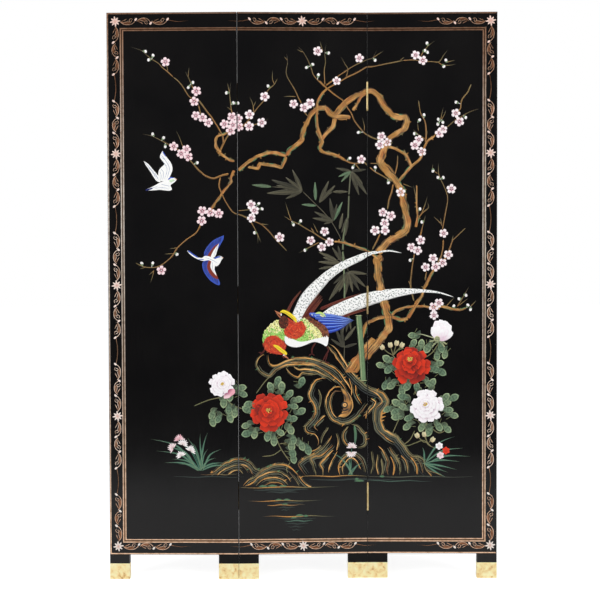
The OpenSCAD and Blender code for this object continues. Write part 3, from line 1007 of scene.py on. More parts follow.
# In the hollow of the rock: a gnarled ochre root with dark cracks, a knot with a pale rim, and moss.
root_line = pairs((124, 616, 137, 602, 145, 584, 147, 563, 144, 544, 134, 531, 116, 523))
root_rim = pairs((132, 616, 148, 600, 160, 578, 163, 556, 156, 538, 142, 524, 122, 519))
root_tones = (olive, ochre, ochre_dark, ochre, ochre_dark, ochre, ochre_light)
cracks = (
    (4, 136, 612, 150, 592, 154, 572),
    (4.5, 129, 602, 138, 588, 139, 574),
    (6, 126, 546, 137, 543, 150, 549),
    (3.6, 122, 531, 134, 535, 146, 535),
    (4, 158, 566, 156, 548, 146, 538),
)
knot_place = (137, 561)
stroke(crag, root_line, (4, 14, 24, 32, 30, 20, 3), root_tones, 0.24, (0.1, 0.1), out=0.05)
for wide, *numbers in cracks:
    stroke(crag, pairs(numbers), wide, mixed(ochre_dark, stone_faint, 0.75), 0.2, out=0.26)
for reach, wide, tint in ((8.6, 4.6, stone_faint), (4.6, 3.6, ochre_light)):
    knot = [off(knot_place, reach, 0.7 * k) for k in range(10)]
    stroke(crag, knot, wide, tint, 0.2, (0, 0), out=0.28, step=2)
stroke(crag, root_rim, 3, (stone_green, ochre_light, olive), 0.26, out=0.1)
for share, reach in ((0.2, 9), (0.5, 14), (0.8, 10)):
    spur = [(254 + 4 * share, 500 + 40 * share), (264 + reach * share, 504 + 40 * share)]
    stroke(crag, spur, (6, 3), ochre, 0.2, (0, 0.5), step=3)
stroke(crag, pairs((168, 496, 172, 466, 170, 432)), (8, 10, 6), (moss, water_green), 0.16, (0.2, 0.2))
lay_picture("garden_rock", [brushed(crag, body_colour("rock_paint"))])


# Painted bamboo
# A green cane in joints behind the rock, and slim leaves that fan from thin stems in grey and
# green paint thinned with lacquer, so that they stay far back in the picture.
cane_green = paint(112, 142, 100)
cane_light = paint(176, 188, 140)
leaf_dim = paint(92, 88, 70)
leaf_far = paint(46, 46, 38)
leaf_fresh = paint(96, 124, 96)


def slim_tone(u, z, share):
    """Pale at the rim and along the middle of a bamboo leaf, darker between."""
    if share >= 1:
        return (1.3, 1.3, 1.2, 1)
    return mixed((1.5, 1.5, 1.4, 1), (0.6, 0.6, 0.6, 1), min(1, abs(u) * 5))


slim_leaf = dab_shape(
    10, lambda a: (0.5 * math.cos(a) * (1 - 0.55 * max(0, math.sin(a))), 0.5 + 0.5 * math.sin(a)),
    slim_tone, middle=(0, 0.5),
)
cane_sides = (
    (-0.4, mixed(cane_green, leaf_far, 0.55)), (0.28, cane_light),
    (0.44, mixed(cane_green, leaf_far, 0.3)),
)
cane_foot, cane_reach = 640, 700
canes, fans = [], []

# Each joint of a cane: its width and its places across and up.
for wide, *numbers in (
    (19, 198, 640, 192, 742, 183, 851),
    (5, 137, 905, 137, 963, 132, 1058),
    (5.5, 132, 1063, 135, 1112, 146, 1160),
    (4.5, 149, 1165, 152, 1238),
    (4, 152, 1242, 157, 1308),
):
    cane = pairs(numbers)
    distant = min(1, (cane[0][1] - cane_foot) / cane_reach)
    front = 0.42 if wide > 12 else 0
    stroke(canes, cane, wide, mixed(cane_green, leaf_dim, distant), 0.16, (0.03, 0.03), out=front)
    for edge, tint in cane_sides:
        side_line = beside(cane, edge * wide)
        stroke(canes, side_line, max(1.2, wide * 0.13), mixed(tint, leaf_dim, distant), 0.2, (0.06, 0.06),
               out=front + 0.05)
    for u, z in (cane[0], cane[-1]):
        ring = [(u - wide * 0.62, z), (u + wide * 0.62, z)]
        stroke(canes, ring, 2.4, mixed(cane_light, leaf_dim, distant), 0.22, (0.2, 0.2), out=front)

# Each fan of leaves: 1 where it is a fresh green, the place of its foot, and those of its tips.
for fresh, *numbers in (
    (0, 1, 1253, -31, 1323, -53, 1298, -22, 1300, -100, 1290, -84, 1272, -115, 1246, -71, 1244, -53,
     1228),
    (1, -98, 1267, -162, 1273),
    (1, 44, 1223, 42, 1283),
    (1, 46, 1206, -2, 1210),
    (0, 56, 1216, 87, 1287, 108, 1272, 74, 1256),
    (0, 100, 1251, 150, 1251),
    (1, 101, 1157, 131, 1219),
    (0, 101, 1157, 90, 1231, 33, 1166, 39, 1187, 70, 1147, 113, 1212),
    (0, 121, 1130, 132, 1183),
    (0, 159, 1317, 109, 1327, 185, 1239, 211, 1241, 197, 1276, 169, 1274, 208, 1323),
    (1, 159, 1317, 117, 1299, 126, 1282),
    (0, 147, 1168, 140, 1108, 128, 1118),
    (0, 150, 993, 85, 899, 100, 953, 139, 914, 118, 926, 164, 926, 186, 931, 208, 941, 211, 985),
    (0, 125, 1020, 51, 1025, 66, 1040),
    (0, 100, 1010, 53, 1002),
    (0, 112, 1030, 53, 1057),
    (0, 127, 1027, 97, 1072, 116, 1078),
    (0, 134, 748, 107, 810, 125, 815, 92, 776, 179, 761),
    (0, 137, 770, 174, 817),
    (0, 150, 850, 128, 800, 142, 796, 158, 804),
):
    (u, z), *tips = pairs(numbers)
    for tip_u, tip_z in tips:
        long = math.dist((u, z), (tip_u, tip_z))
        near_tint, far_tint, most = (leaf_fresh, leaf_dim, 0.3) if fresh else (leaf_dim, leaf_far, 0.8)
        tint = mixed(near_tint, far_tint, chance.uniform(0, most))
        turned = math.degrees(math.atan2(tip_z - z, tip_u - u)) - 90
        dab(fans, u, z, turned, 4.4 + 0.11 * long, long, tint, 0.2)
for numbers in (
    (1, 1253, 39, 1216, 86, 1167, 119, 1113, 132, 1080),
    (1, 1253, -40, 1262, -98, 1267),
    (56, 1216, 78, 1236, 100, 1251),
    (132, 1058, 140, 1026, 150, 993),
    (112, 1030, 132, 1040),
    (134, 690, 136, 748, 132, 800, 150, 850),
):
    stroke(canes, pairs(numbers), 2.6, leaf_dim, 0.16, (0.1, 0.2))
bamboo_paint = body_colour("bamboo_paint", worn=0.6)
lay_picture("bamboo", [brushed(canes, bamboo_paint), dabbed(fans, slim_leaf, bamboo_paint)])


# Painted plum tree
# An old flowering plum whose limbs turn at sharp angles: a warm ochre coat, broken dark lines along
# the bark, lights on one side, and knobs and moss on its outline. Twigs pale to olive at their tips.
bark = paint(178, 126, 62)
bark_warm = paint(182, 114, 58)
bark_light = paint(214, 160, 94)
bark_dark = paint(76, 50, 28)
twig_brown = paint(162, 118, 66)
twig_olive = paint(128, 112, 70)
twig_grey = paint(70, 68, 54)
streaks_on_bark = (
    (-0.44, 0.18, bark_dark), (-0.2, 0.11, bark_dark), (0.04, 0.09, mixed(bark_dark, bark, 0.3)),
    (0.24, 0.16, bark_light), (0.44, 0.10, mixed(bark_dark, olive, 0.5)),
)
twig_width, fine_twig = 8, 3.5
knob_share, spur_share = 0.6, 0.3
limbs, coats, limb_places = [], [], []


def limb(first, last, *numbers):
    """One limb that goes from its first width to its last along places across and up, with its bark."""
    places = pairs(numbers)
    path = smooth(
        [(u, z, first + (last - first) * k / (len(places) - 1)) for k, (u, z) in enumerate(places)],
        13 if first > twig_width else 18,
    )
    line, widths = [], []
    for u, z, wide in path:
        line.append((u + chance.uniform(-0.06, 0.06) * wide, z + chance.uniform(-0.06, 0.06) * wide))
        widths.append(wide * chance.uniform(0.8, 1.1))
    limb_places.extend(line)
    if max(first, last) <= twig_width:
        tones = (twig_brown, twig_olive, twig_grey) if last < fine_twig else (twig_brown, twig_olive)
        widths = [0.78 * wide for wide in widths]
        ends = (0.02, 0.3 if last < fine_twig else 0.05)
        stroke(limbs, line, widths, (bark, *tones) if first > 5 else tones, 0.28, ends, step=6)
        if first > 4:
            shade = [0.36 * wide for wide in widths]
            stroke(coats, beside(line, 0.9), shade, bark_dark, 0.3, (0.1, 0.3), out=0.06)
        return
    barks = (bark, bark, bark_warm, bark_light)
    tones = [mixed(chance.choice(barks), olive, chance.choice((0, 0, 0.3))) for _ in line]
    stroke(limbs, line, widths, tones, 0.34, (0.0, 0.03), step=5)
    for share, size, colour in streaks_on_bark:
        start = chance.randint(0, 2)
        while start < len(line) - 2:
            run = slice(start, start + chance.randint(3, 8))
            lane = beside(line[run], [share * wide * chance.uniform(0.7, 1.2) for wide in widths[run]])
            lane_widths = [max(1.2, size * wide) for wide in widths[run]]
            stroke(coats, lane, lane_widths, colour, 0.3, (0.2, 0.3), out=0.1)
            start += len(lane) + chance.randint(0, 2)
    for k in range(1, len(line) - 1):
        side = chance.choice((-1, 1))
        rim = beside(line[k - 1:k + 2], side * widths[k] * 0.5)
        if chance.random() < knob_share:
            tint = chance.choice((olive, moss, bark, bark_dark))
            stroke(limbs, rim, (2, 4.5, 2), tint, 0.26, (0.3, 0.3), step=4)
        if chance.random() < spur_share:
            tip = beside(line[k - 1:k + 2], side * (widths[k] * 0.5 + chance.uniform(3, 7)))[1]
            stroke(limbs, [line[k], tip], (5, 3), chance.choice((bark, twig_olive)), 0.28, (0, 0.3), step=3)


# Each limb: its widths at the two ends and then its places across and up.
for row in (
    (27, 24, 204, 716, 236, 750, 262, 785, 282, 817, 279, 834, 271, 863, 262, 906, 253, 949, 245, 992,
     245, 1027, 259, 1044),
    (22, 22, 245, 1053, 260, 1071, 279, 1090, 304, 1105, 329, 1119, 341, 1140, 338, 1169, 331, 1202, 325,
     1226, 321, 1253, 309, 1278, 292, 1298, 272, 1320, 255, 1342, 257, 1367, 267, 1392, 289, 1426),
    (20, 17, 279, 1422, 294, 1431, 318, 1445, 334, 1458, 339, 1475, 333, 1490, 309, 1490, 289, 1501, 272,
     1519, 257, 1542, 244, 1563, 231, 1575, 215, 1574, 195, 1568, 165, 1554, 141, 1535, 123, 1514, 106,
     1496, 89, 1506, 74, 1522, 57, 1519),
    (11, 10, 212, 1569, 190, 1554, 178, 1532, 164, 1512),
    (16, 14, 104, 1492, 128, 1492, 157, 1490),
    (14, 12, 107, 1485, 100, 1461, 81, 1440, 69, 1426, 63, 1416),
    (18, 14, 74, 1519, 55, 1519, 33, 1502, 15, 1470, 6, 1448, -2, 1416),
    (7, 9, 81, 1581, 67, 1568, 54, 1547, 48, 1519, 49, 1482, 54, 1445, 63, 1426, 65, 1418),
    (11, 9, 49, 1448, 60, 1426, 66, 1411, 58, 1392, 73, 1377, 97, 1372, 117, 1365, 139, 1352),
    (14, 12, 8, 1448, 1, 1429, 4, 1418, -11, 1407, -26, 1396, -39, 1384, -50, 1367),
    (12, 12, -50, 1367, -71, 1373, -95, 1377, -125, 1371, -155, 1358, -184, 1337, -204, 1320),
    (9, 9, -51, 1363, -58, 1342, -66, 1329, -88, 1334, -110, 1337, -134, 1339, -142, 1328, -174, 1330),
    (9, 8, -217, 1319, -228, 1294, -226, 1284, -246, 1259, -267, 1230, -285, 1206, -296, 1185),
    (8, 6, -234, 1309, -259, 1302, -283, 1294, -308, 1302, -333, 1323, -347, 1339, -361, 1356),
    (6, 5, -261, 1298, -265, 1272, -252, 1235, -236, 1206, -217, 1183, -193, 1175, -164, 1160),
    (5, 4, -164, 1160, -131, 1146, -106, 1123, -86, 1099, -69, 1082, -49, 1060),
    (4, 3, -139, 1148, -108, 1145),
    (4, 3, -166, 1156, -152, 1132, -143, 1111, -143, 1084),
    (3, 2, -145, 1119, -133, 1088),
    (3, 3, -205, 1190, -172, 1193, -154, 1197),
    (6, 4, -324, 1152, -337, 1123, -374, 1095, -403, 1068, -419, 1043, -456, 1014, -485, 1008, -514, 1012,
     -536, 1023),
    (3, 2, -401, 1072, -427, 1068),
    (3, 2, -413, 1053, -444, 1051),
    (3, 2, -477, 1000, -483, 975, -489, 959),
    (3, 2, -477, 998, -493, 984),
    (3, 2, -501, 1010, -522, 1004),
    (3, 2, -374, 1387, -384, 1403, -392, 1426, -403, 1448),
    (5, 2, -390, 1383, -413, 1397, -438, 1409, -462, 1422, -487, 1433, -512, 1438),
    (10, 7, -267, 1379, -250, 1366, -230, 1352, -215, 1348),
    (9, 7, -259, 1379, -275, 1395, -271, 1428, -252, 1434, -230, 1444),
    (8, 7, -261, 1383, -250, 1407, -238, 1428, -230, 1440),
    (7, 6, -250, 1403, -254, 1432, -263, 1448),
    (6, 6, -252, 1428, -264, 1450, -288, 1489, -313, 1522, -330, 1547),
    (5, 4, -254, 1433, -231, 1445),
    (5, 4, -330, 1529, -339, 1542, -359, 1556, -369, 1569, -381, 1589, -395, 1606, -411, 1619),
    (4, 2, -411, 1619, -431, 1638, -446, 1650, -458, 1663, -480, 1677, -495, 1689, -510, 1703, -530, 1711,
     -548, 1716),
    (4, 4, -330, 1529, -326, 1512, -322, 1497),
    (4, 2, -347, 1581, -354, 1598, -362, 1617, -373, 1637),
    (3, 2, -362, 1621, -362, 1633, -360, 1650),
    (3, 3, -428, 1638, -431, 1652, -435, 1663),
    (5, 4, -197, 1455, -170, 1482, -155, 1503, -140, 1523, -122, 1544, -112, 1571, -101, 1584, -88, 1595,
     -78, 1613),
    (3, 2, -88, 1595, -94, 1613, -93, 1640),
    (4, 2, -155, 1507, -157, 1531, -167, 1555),
    (3, 2, -155, 1523, -147, 1542),
    (4, 2, -165, 1463, -143, 1469, -125, 1475, -107, 1485),
    (4, 3, -220, 1495, -225, 1517, -228, 1544, -230, 1569, -226, 1601),
    (3, 2, -230, 1569, -237, 1600),
    (3, 2, -223, 1511, -239, 1524),
    (5, 3, -1, 1535, -11, 1554, -24, 1581, -39, 1606, -50, 1632, -45, 1665, -48, 1693),
    (3, 2, -46, 1672, -56, 1685),
    (3, 2, -18, 1556, -39, 1557, -59, 1556),
    (4, 4, 8, 1507, 20, 1493),
    (5, 3, 74, 1587, 51, 1610, 38, 1625, 28, 1655, 18, 1677, 3, 1702, -12, 1717),
    (3, 2, 6, 1698, -15, 1707),
    (4, 2, 75, 1593, 73, 1643, 77, 1665, 75, 1697, 80, 1729),
    (3, 2, 69, 1700, 59, 1734),
    (6, 3, 77, 1592, 95, 1605, 121, 1625, 141, 1638, 158, 1650, 180, 1662, 195, 1668, 212, 1676, 228,
     1680, 242, 1705),
    (3, 2, 230, 1681, 263, 1703),
    (5, 2, 144, 1621, 149, 1644, 141, 1659, 128, 1683),
    (6, 5, 79, 1580, 101, 1593, 133, 1611, 148, 1620, 180, 1635, 210, 1652, 225, 1653, 264, 1660, 289,
     1665, 326, 1672),
    (5, 4, 326, 1672, 358, 1674, 388, 1670, 429, 1667),
    (3, 3, 316, 1672, 331, 1683),
    (6, 6, 57, 1608, 79, 1586, 106, 1563, 133, 1544, 148, 1521, 160, 1504, 170, 1480, 185, 1460, 200,
     1443, 212, 1433, 235, 1422, 254, 1418),
    (3, 2, 202, 1447, 202, 1463, 195, 1491),
    (4, 2, 383, 1685, 393, 1702, 407, 1718, 429, 1735),
    (4, 3, 402, 1668, 421, 1668, 440, 1666, 449, 1674, 456, 1687, 471, 1706),
    (4, 2, 439, 1666, 454, 1657, 476, 1656, 497, 1660),
    (3, 2, 468, 1666, 494, 1672),
    (5, 2, 491, 1479, 503, 1485, 520, 1495, 538, 1505, 570, 1516),
    (5, 4, 408, 1416, 429, 1433, 446, 1445, 468, 1458, 492, 1479),
    (4, 6, 496, 1500, 511, 1517, 512, 1532, 518, 1549, 533, 1568, 546, 1595),
    (4, 2, 447, 1480, 450, 1495, 456, 1522),
    (3, 2, 450, 1482, 459, 1497, 465, 1512),
    (7, 4, 400, 1416, 400, 1458, 393, 1485, 383, 1502, 376, 1544),
    (4, 2, 397, 1420, 375, 1435, 359, 1451),
    (3, 3, 376, 1445, 373, 1473),
    (10, 9, 283, 1395, 304, 1387, 335, 1369, 343, 1356, 353, 1332),
    (4, 3, 337, 1369, 329, 1388),
    (10, 7, 313, 1286, 334, 1310, 353, 1332, 376, 1350, 387, 1369, 397, 1398, 406, 1414, 430, 1431),
    (6, 5, 399, 1407, 400, 1424, 403, 1448),
    (6, 4, 299, 1304, 307, 1337, 309, 1368),
    (6, 8, 273, 1340, 287, 1325, 300, 1303),
    (7, 6, 106, 1369, 131, 1357, 156, 1345, 172, 1342, 203, 1345, 211, 1334),
    (4, 3, 171, 1342, 189, 1320, 195, 1314),
    (4, 5, 219, 1330, 237, 1315, 260, 1302, 277, 1292, 290, 1284),
    (3, 4, 220, 1342, 245, 1342),
    (8, 7, 295, 1276, 290, 1251, 282, 1226, 276, 1193),
    (6, 7, 253, 1115, 241, 1090, 227, 1063),
    (3, 2, 326, 1276, 357, 1264),
    (10, 4, 367, 1137, 373, 1165, 371, 1202, 370, 1272),
    (3, 2, 369, 1226, 360, 1271),
    (7, 3, 373, 1162, 388, 1182, 408, 1199, 405, 1216),
    (4, 2, 387, 1182, 398, 1211, 405, 1236),
    (7, 3, 382, 1108, 388, 1135, 399, 1174),
    (5, 4, 453, 1128, 462, 1177, 470, 1226, 467, 1246, 457, 1270, 447, 1290),
    (4, 2, 447, 1290, 441, 1308, 440, 1342),
    (3, 2, 439, 1308, 423, 1320, 422, 1340),
    (5, 3, 452, 1144, 425, 1170),
    (5, 3, 451, 1140, 447, 1165),
    (5, 5, 139, 1083, 107, 1090, 73, 1096, 40, 1117, 13, 1132, -11, 1147, -34, 1157),
    (4, 2, -34, 1157, -43, 1182, -54, 1218),
    (3, 2, -36, 1158, -59, 1174),
    (3, 2, 51, 1119, 35, 1151),
    (3, 5, 29, 1135, 39, 1119),
    (4, 3, 55, 1088, 16, 1068, -11, 1053),
    (7, 9, 106, 1090, 136, 1086, 168, 1076, 203, 1063, 235, 1044),
    (7, 6, 456, 1096, 455, 1070, 448, 1038, 435, 1015),
    (8, 4, 455, 1024, 472, 1056, 487, 1096, 492, 1099, 528, 1133),
    (4, 3, 482, 1082, 488, 1110),
    (8, 12, 425, 998, 407, 966, 395, 940, 386, 914, 371, 891, 355, 863, 341, 842),
    (12, 12, 341, 842, 318, 837, 292, 845, 259, 845, 225, 833, 205, 822, 197, 791),
    (5, 7, 402, 992, 398, 963),
    (5, 8, 363, 1050, 355, 998, 351, 949, 361, 897),
    (5, 4, 344, 963, 352, 945),
    (9, 6, 289, 851, 303, 865, 331, 876, 366, 880, 394, 880, 418, 877, 455, 879, 490, 871, 513, 868, 531,
     875),
    (4, 2, 465, 880, 492, 909),
    (5, 2, 501, 879, 516, 904, 539, 943),
    (3, 2, 505, 882, 536, 906),
    (4, 2, 544, 880, 563, 899),
    (10, 7, 245, 1035, 225, 1050),
    (44, 30, 156, 668, 182, 706, 208, 742, 234, 772),
    (12, 12, 197, 794, 192, 774),
):
    limb(*row)

tree_paint = body_colour("plum_bark_paint", worn=0.45, grain=700, depth=0.0001)
lay_picture("plum_tree", [brushed(limbs, tree_paint, 8), brushed(coats, tree_paint)])


# Painted blossoms and buds
# Each blossom is five round touches of white flushed with pink round a dark rose star; the buds are
# white drops in a green cup, each on a short stem to the nearest twig.
petal_white = paint(252, 247, 247)
petal_blush = paint(246, 176, 190)
heart_rose = paint(146, 44, 70)
heart_pink = paint(208, 100, 134)
stamen_gold = paint(236, 200, 90)
bud_green = paint(112, 134, 96)
blossom_places = pairs((
    -436, 1668, -337, 1574, -344, 1541, -339, 1496, -318, 1489, -299, 1473, -223, 1491, -247, 1468, -220,
    1465, -227, 1447, -204, 1485, -201, 1459, -168, 1498, -169, 1461, -129, 1473, -119, 1556, -26, 1533,
    27, 1535, 8, 1521, 52, 1702, 113, 1607, 186, 1680, 367, 1689, 390, 1672, 496, 1502, 508, 1475, 455,
    1450, 444, 1438, -411, 1397, -370, 1388, -387, 1374, -364, 1364, -320, 1190, -294, 1185, -267, 1181,
    -322, 1158, -453, 999, -164, 1209, -153, 1191, -163, 1166, -72, 1104, 73, 1123, 28, 1094, 89, 1089,
    64, 1073, 257, 1429, 276, 1410, 252, 1402, 192, 1355, 377, 1418, 365, 1400, 387, 1379, 319, 1249, 261,
    1184, 287, 1173, 267, 1150, 268, 1126, 236, 1126, 383, 1094, 353, 1071, 373, 1061, 457, 1116, 482,
    1259, 423, 1035, 399, 1007, 454, 1021, 431, 1008, 472, 1047, 442, 891, 425, 878, 426, 851,
))
bud_places = pairs((
    -501, 1702, -476, 1688, -489, 1675, -349, 1601, -362, 1587, -478, 1436, -444, 1424, -239, 1568, -219,
    1535, -206, 1535, -107, 1589, 17, 1650, 35, 1659, 54, 1625, 86, 1696, 236, 1674, 404, 1726, 396, 1703,
    404, 1698, 394, 1496, 379, 1480, 364, 1437, 184, 1442, 465, 1671, 457, 1653, 498, 1537, 527, 1489,
    441, 1482, 454, 1474, 439, 1468, -438, 1398, -336, 1344, -516, 1021, -481, 1021, -403, 1051, -140,
    1212, -130, 1196, -152, 1119, -5, 1156, -28, 1146, 10, 1063, 154, 1358, 165, 1330, 237, 1328, 279,
    1281, 423, 1318, 440, 1295, 455, 1295, 380, 1194, 388, 1153, 350, 1030, 508, 904, 528, 916, 490, 880,
    535, 883, 544, 871,
))


def petal_tone(u, z, share):
    """Rose at the foot, white in the middle and a faint pink at the edge."""
    if share >= 1.0:
        return (0.86, 0.62, 0.68, 1)
    return mixed((0.76, 0.22, 0.36, 1), white, min(1, max(0, (z - 0.22 + 0.5 * abs(u)) * 2.5)))


def petal_outline(angle):
    """Outline of a plum petal: round, with a small notch at its tip."""
    up = math.sin(angle)
    return 0.35 * math.cos(angle) * (1 + 0.1 * up), 0.62 + 0.38 * up - 0.05 * (up > 0.95)


plum_petal = dab_shape(
    12, petal_outline, petal_tone, rings=((1.0, 0.25), (0.84, 0.8), (0.4, 1.0)), middle=(0, 0.6),
)
smallest, largest = 14.8, 16.8
shaded_side = -190
petals, hearts, stems = [], [], []
for u, z in blossom_places:
    first = chance.uniform(0, 72)
    size = chance.uniform(smallest, largest)
    fresh = mixed(petal_white, petal_blush, chance.uniform(0.0, 0.14) + (0.22 if u < shaded_side else 0))
    for k in range(5):
        dab(petals, u, z, first + 72 * k, size * 1.04, size, fresh, 0.5 + 0.05 * (k % 2))
    dab(hearts, u, z, 0, 4.2, 4.2, heart_rose, 0.5)
    for k in range(5):
        angle = math.radians(first + 72 * k)
        tip = (u + 5.6 * math.sin(-angle), z + 5.6 * math.cos(angle))
        stroke(stems, [(u, z), tip], 1.7, (heart_rose, heart_pink), 0.2, (0, 0.4), out=0.46)
for u, z in bud_places:
    near = min(limb_places, key=lambda place: math.dist(place, (u, z)))
    away = Vector((u - near[0], z - near[1])).normalized() if near != (u, z) else Vector((0, 1))
    stroke(stems, [near, (u - 5 * away.x, z - 5 * away.y)], 2, twig_olive, 0.26, (0, 0))
    dab(hearts, u - 3 * away.x, z - 3 * away.y, 0, 4.6, 4.6, bud_green, 0.4)
    turned = chance.uniform(-60, 60)
    tint = mixed(petal_white, bud_green, chance.uniform(0, 0.12))
    dab(hearts, u + 1.2 * away.x, z + 1.2 * away.y, turned, 4.6, 5.6, tint, 0.5)
blossom_paint = body_colour("blossom_paint", worn=0.1, grain=900)
lay_picture(
    "plum_blossoms",
    [dabbed(petals, plum_petal, blossom_paint), dabbed(hearts, round_dab, blossom_paint),
     brushed(stems, blossom_paint)],
)


# Painted peonies and their leaves
# Full-blown peonies in rings of ruffled petals round gold stamens, two red and three white flushed
# with rose, on thin stems among rounded leaves whose rims and ribs are picked out paler.
peony_red = paint(230, 50, 8)
peony_white = paint(255, 253, 255)
leaf_green = paint(140, 158, 126)
leaf_blue = paint(108, 134, 110)
stem_green = paint(104, 108, 70)
bud_cream = paint(226, 214, 170)
red_shade = paint(150, 24, 12)
white_shade = paint(254, 247, 251)
leaf_pale, leaf_rib, leaf_field = (1.55, 1.48, 1.3, 1), (0.38, 0.43, 0.40, 1), (0.84, 0.92, 0.84, 1)
stamen_count, stamen_wide, stamen_rise = 18, 2.5, 1.7
leaf_places = pairs((
    -81, 639, -102, 619, -67, 619, -3, 635, -44, 596, -16, 579, -30, 558, -7, 540, -34, 517, -39, 484,
    -112, 464, -92, 448, -74, 474, -181, 497, -178, 471, -155, 471, -171, 566, -178, 547, -194, 599, -199,
    619, -253, 573, -234, 593, -237, 550, -234, 523, -217, 540, -290, 533, -290, 510, -270, 520, -30, 451,
    -36, 431, -33, 408, -30, 389, -3, 431, 17, 418, 255, 689, 277, 708, 281, 678, 268, 626, 290, 626, 322,
    609, 341, 622, 370, 618, 406, 633, 419, 630, 441, 695, 449, 669, 428, 678, 359, 786, 359, 760, 385,
    756, 406, 747, 436, 721, 449, 747, 462, 726, 277, 548, 307, 566, 303, 540, 307, 522, 328, 587, 328,
    553, 346, 518, 341, 492, 387, 490, 411, 475, 441, 492, 467, 484, 471, 544, 488, 527, 462, 583, 488,
    583, 467, 566,
))


def ruffled(angle):
    """Outline of a peony petal: narrow at its foot, broad and notched at its rim."""
    up = math.sin(angle)
    notch = 0.055 * math.cos(5 * angle) * (up > 0.2)
    return 0.52 * math.cos(angle) * (1 + 0.35 * up), 0.5 + 0.5 * up - notch


def petal_shape(foot_shade, rim_shade, fade):
    """A peony petal that darkens towards its foot and pales at its rim."""
    def tone(u, z, share):
        """Its shade at a place; share is 1 at the outline."""
        shade = mixed(foot_shade, white, min(1, max(0, z - 0.12) * fade))
        return mixed(shade, rim_shade, 0.8) if share >= 1 and z > 0.45 else shade
    return dab_shape(16, ruffled, tone, rings=((1.0, 0.6), (0.86, 0.95), (0.45, 0.8)), middle=(0, 0.55))


red_petal = petal_shape((0.10, 0.04, 0.06, 1), (1.08, 1.25, 1.0, 1), 1.5)
white_petal = petal_shape((0.40, 0.14, 0.28, 1), white, 2.1)
closed_petal = petal_shape((0.82, 0.62, 0.72, 1), white, 1.8)


def leaf_tone(u, z, share):
    """Pale rim and midrib, darker between the side veins."""
    if share > 0.8:
        return mixed((0.4, 0.45, 0.4, 1), leaf_pale, min(1, max(0, 1.7 * z - 0.3)))
    return leaf_rib if int(z * 7) % 2 else leaf_field


def leaf_outline(angle):
    """Outline of a peony leaf: oval, broader above and drawn out to a point."""
    up = math.sin(angle)
    return 0.5 * math.cos(angle) * (1 + 0.3 * up), 0.5 + 0.5 * up + 0.12 * abs(up) ** 9 * up


round_leaf = dab_shape(
    16, leaf_outline, leaf_tone, rings=((1.0, 0.4), (0.86, 0.85), (0.68, 1.0), (0.3, 1.0)), middle=(0, 0.5),
)
reds, whites, closed, leaves, stamens, stalks = [], [], [], [], [], []

# Rings of petals from the outside in: how many, how far out they start, how long and how wide, as
# shares of the flower's half-width.
petal_rings = (
    (11, 0.48, 0.52, 0.44), (10, 0.30, 0.48, 0.42), (9, 0.14, 0.44, 0.38), (7, 0.02, 0.36, 0.32),
    (4, -0.05, 0.26, 0.26),
)


def peony(u, z, size, heart, work, tint, shade):
    """A peony of half-width size with its heart at a place of its own; its petals run from tint to shade."""
    dab(stamens, u, z, 0, size * 0.7, size * 0.7, mixed(shade, ochre_dark, 0.4), 0.15)
    for ring, (count, start, length, wide) in enumerate(petal_rings):
        middle = mixed((u, z), heart, ring / (len(petal_rings) - 1))
        first = chance.uniform(0, 360)
        for k in range(count):
            angle = first + 360 * k / count + chance.uniform(-9, 9)
            foot = off(middle, size * (start + chance.uniform(-0.05, 0.03)), math.radians(angle))
            dab(work, *foot, angle - 90, size * wide * chance.uniform(0.86, 1.14),
                size * length * chance.uniform(0.88, 1.05), mixed(tint, shade, chance.random() ** 2), 0.5,
                out=0.15 * ring + 0.02 * (k % 2))
    for _ in range(stamen_count):
        angle, reach = chance.uniform(0, 6.28), size * 0.13 * math.sqrt(chance.random())
        gold = mixed(stamen_gold, ochre_dark, chance.uniform(0, 0.6))
        dab(stamens, *off(heart, reach, angle, 0.8), 0, stamen_wide, stamen_wide, gold, stamen_rise)


# Flowers in full bloom: place, half-width, place of the heart, colours. The last one is still closed.
flowers = (
    (-108, 540, 65, (-110, 545), reds, peony_red, red_shade),
    (-260, 630, 44, (-258, 632), whites, peony_white, white_shade),
    (354, 687, 64, (348, 710), reds, peony_red, red_shade),
    (404, 557, 56, (398, 563), whites, peony_white, white_shade),
    (454, 805),
)
for flower in flowers[:4]:
    peony(*flower)

# The closed flower: its petals as (turn, width, length, tint), then sepals, calyx and stem. After it
# come two petals that droop from the white flower at the left.
sepal_green = mixed(leaf_green, bud_cream, 0.3)
closed_petals = (
    (-34, 34, 52, peony_white),
    (30, 34, 52, peony_white),
    (-14, 38, 66, peony_white),
    (13, 38, 66, white_shade),
    (0, 40, 68, peony_white),
    (-12, 34, 50, white_shade),
    (12, 30, 42, peony_white),
)
for turn_by, wide, long, tint in closed_petals:
    dab(closed, 447, 768, turn_by - 6, wide, long, tint, 0.5, out=0.1 + 0.006 * (68 - long))
for turn_by in (-80, -44, 40, 62):
    dab(leaves, 441, 772, 180 + turn_by, 5, 28, sepal_green, 0.5)
dab(leaves, 439, 762, 10, 20, 22, mixed(leaf_green, bud_cream, 0.45), 0.8, out=0.1)
closed_stem = pairs((438, 774, 406, 784, 385, 790, 366, 790))
stroke(stalks, closed_stem, (4.5, 4, 3, 2.5), sepal_green, 0.5, (0, 0.3))
dab(whites, -238, 612, -130, 26, 22, petal_blush, 0.4, out=0.9)
dab(whites, -246, 602, -160, 22, 18, mixed(petal_blush, peony_white, 0.4), 0.4, out=0.92)

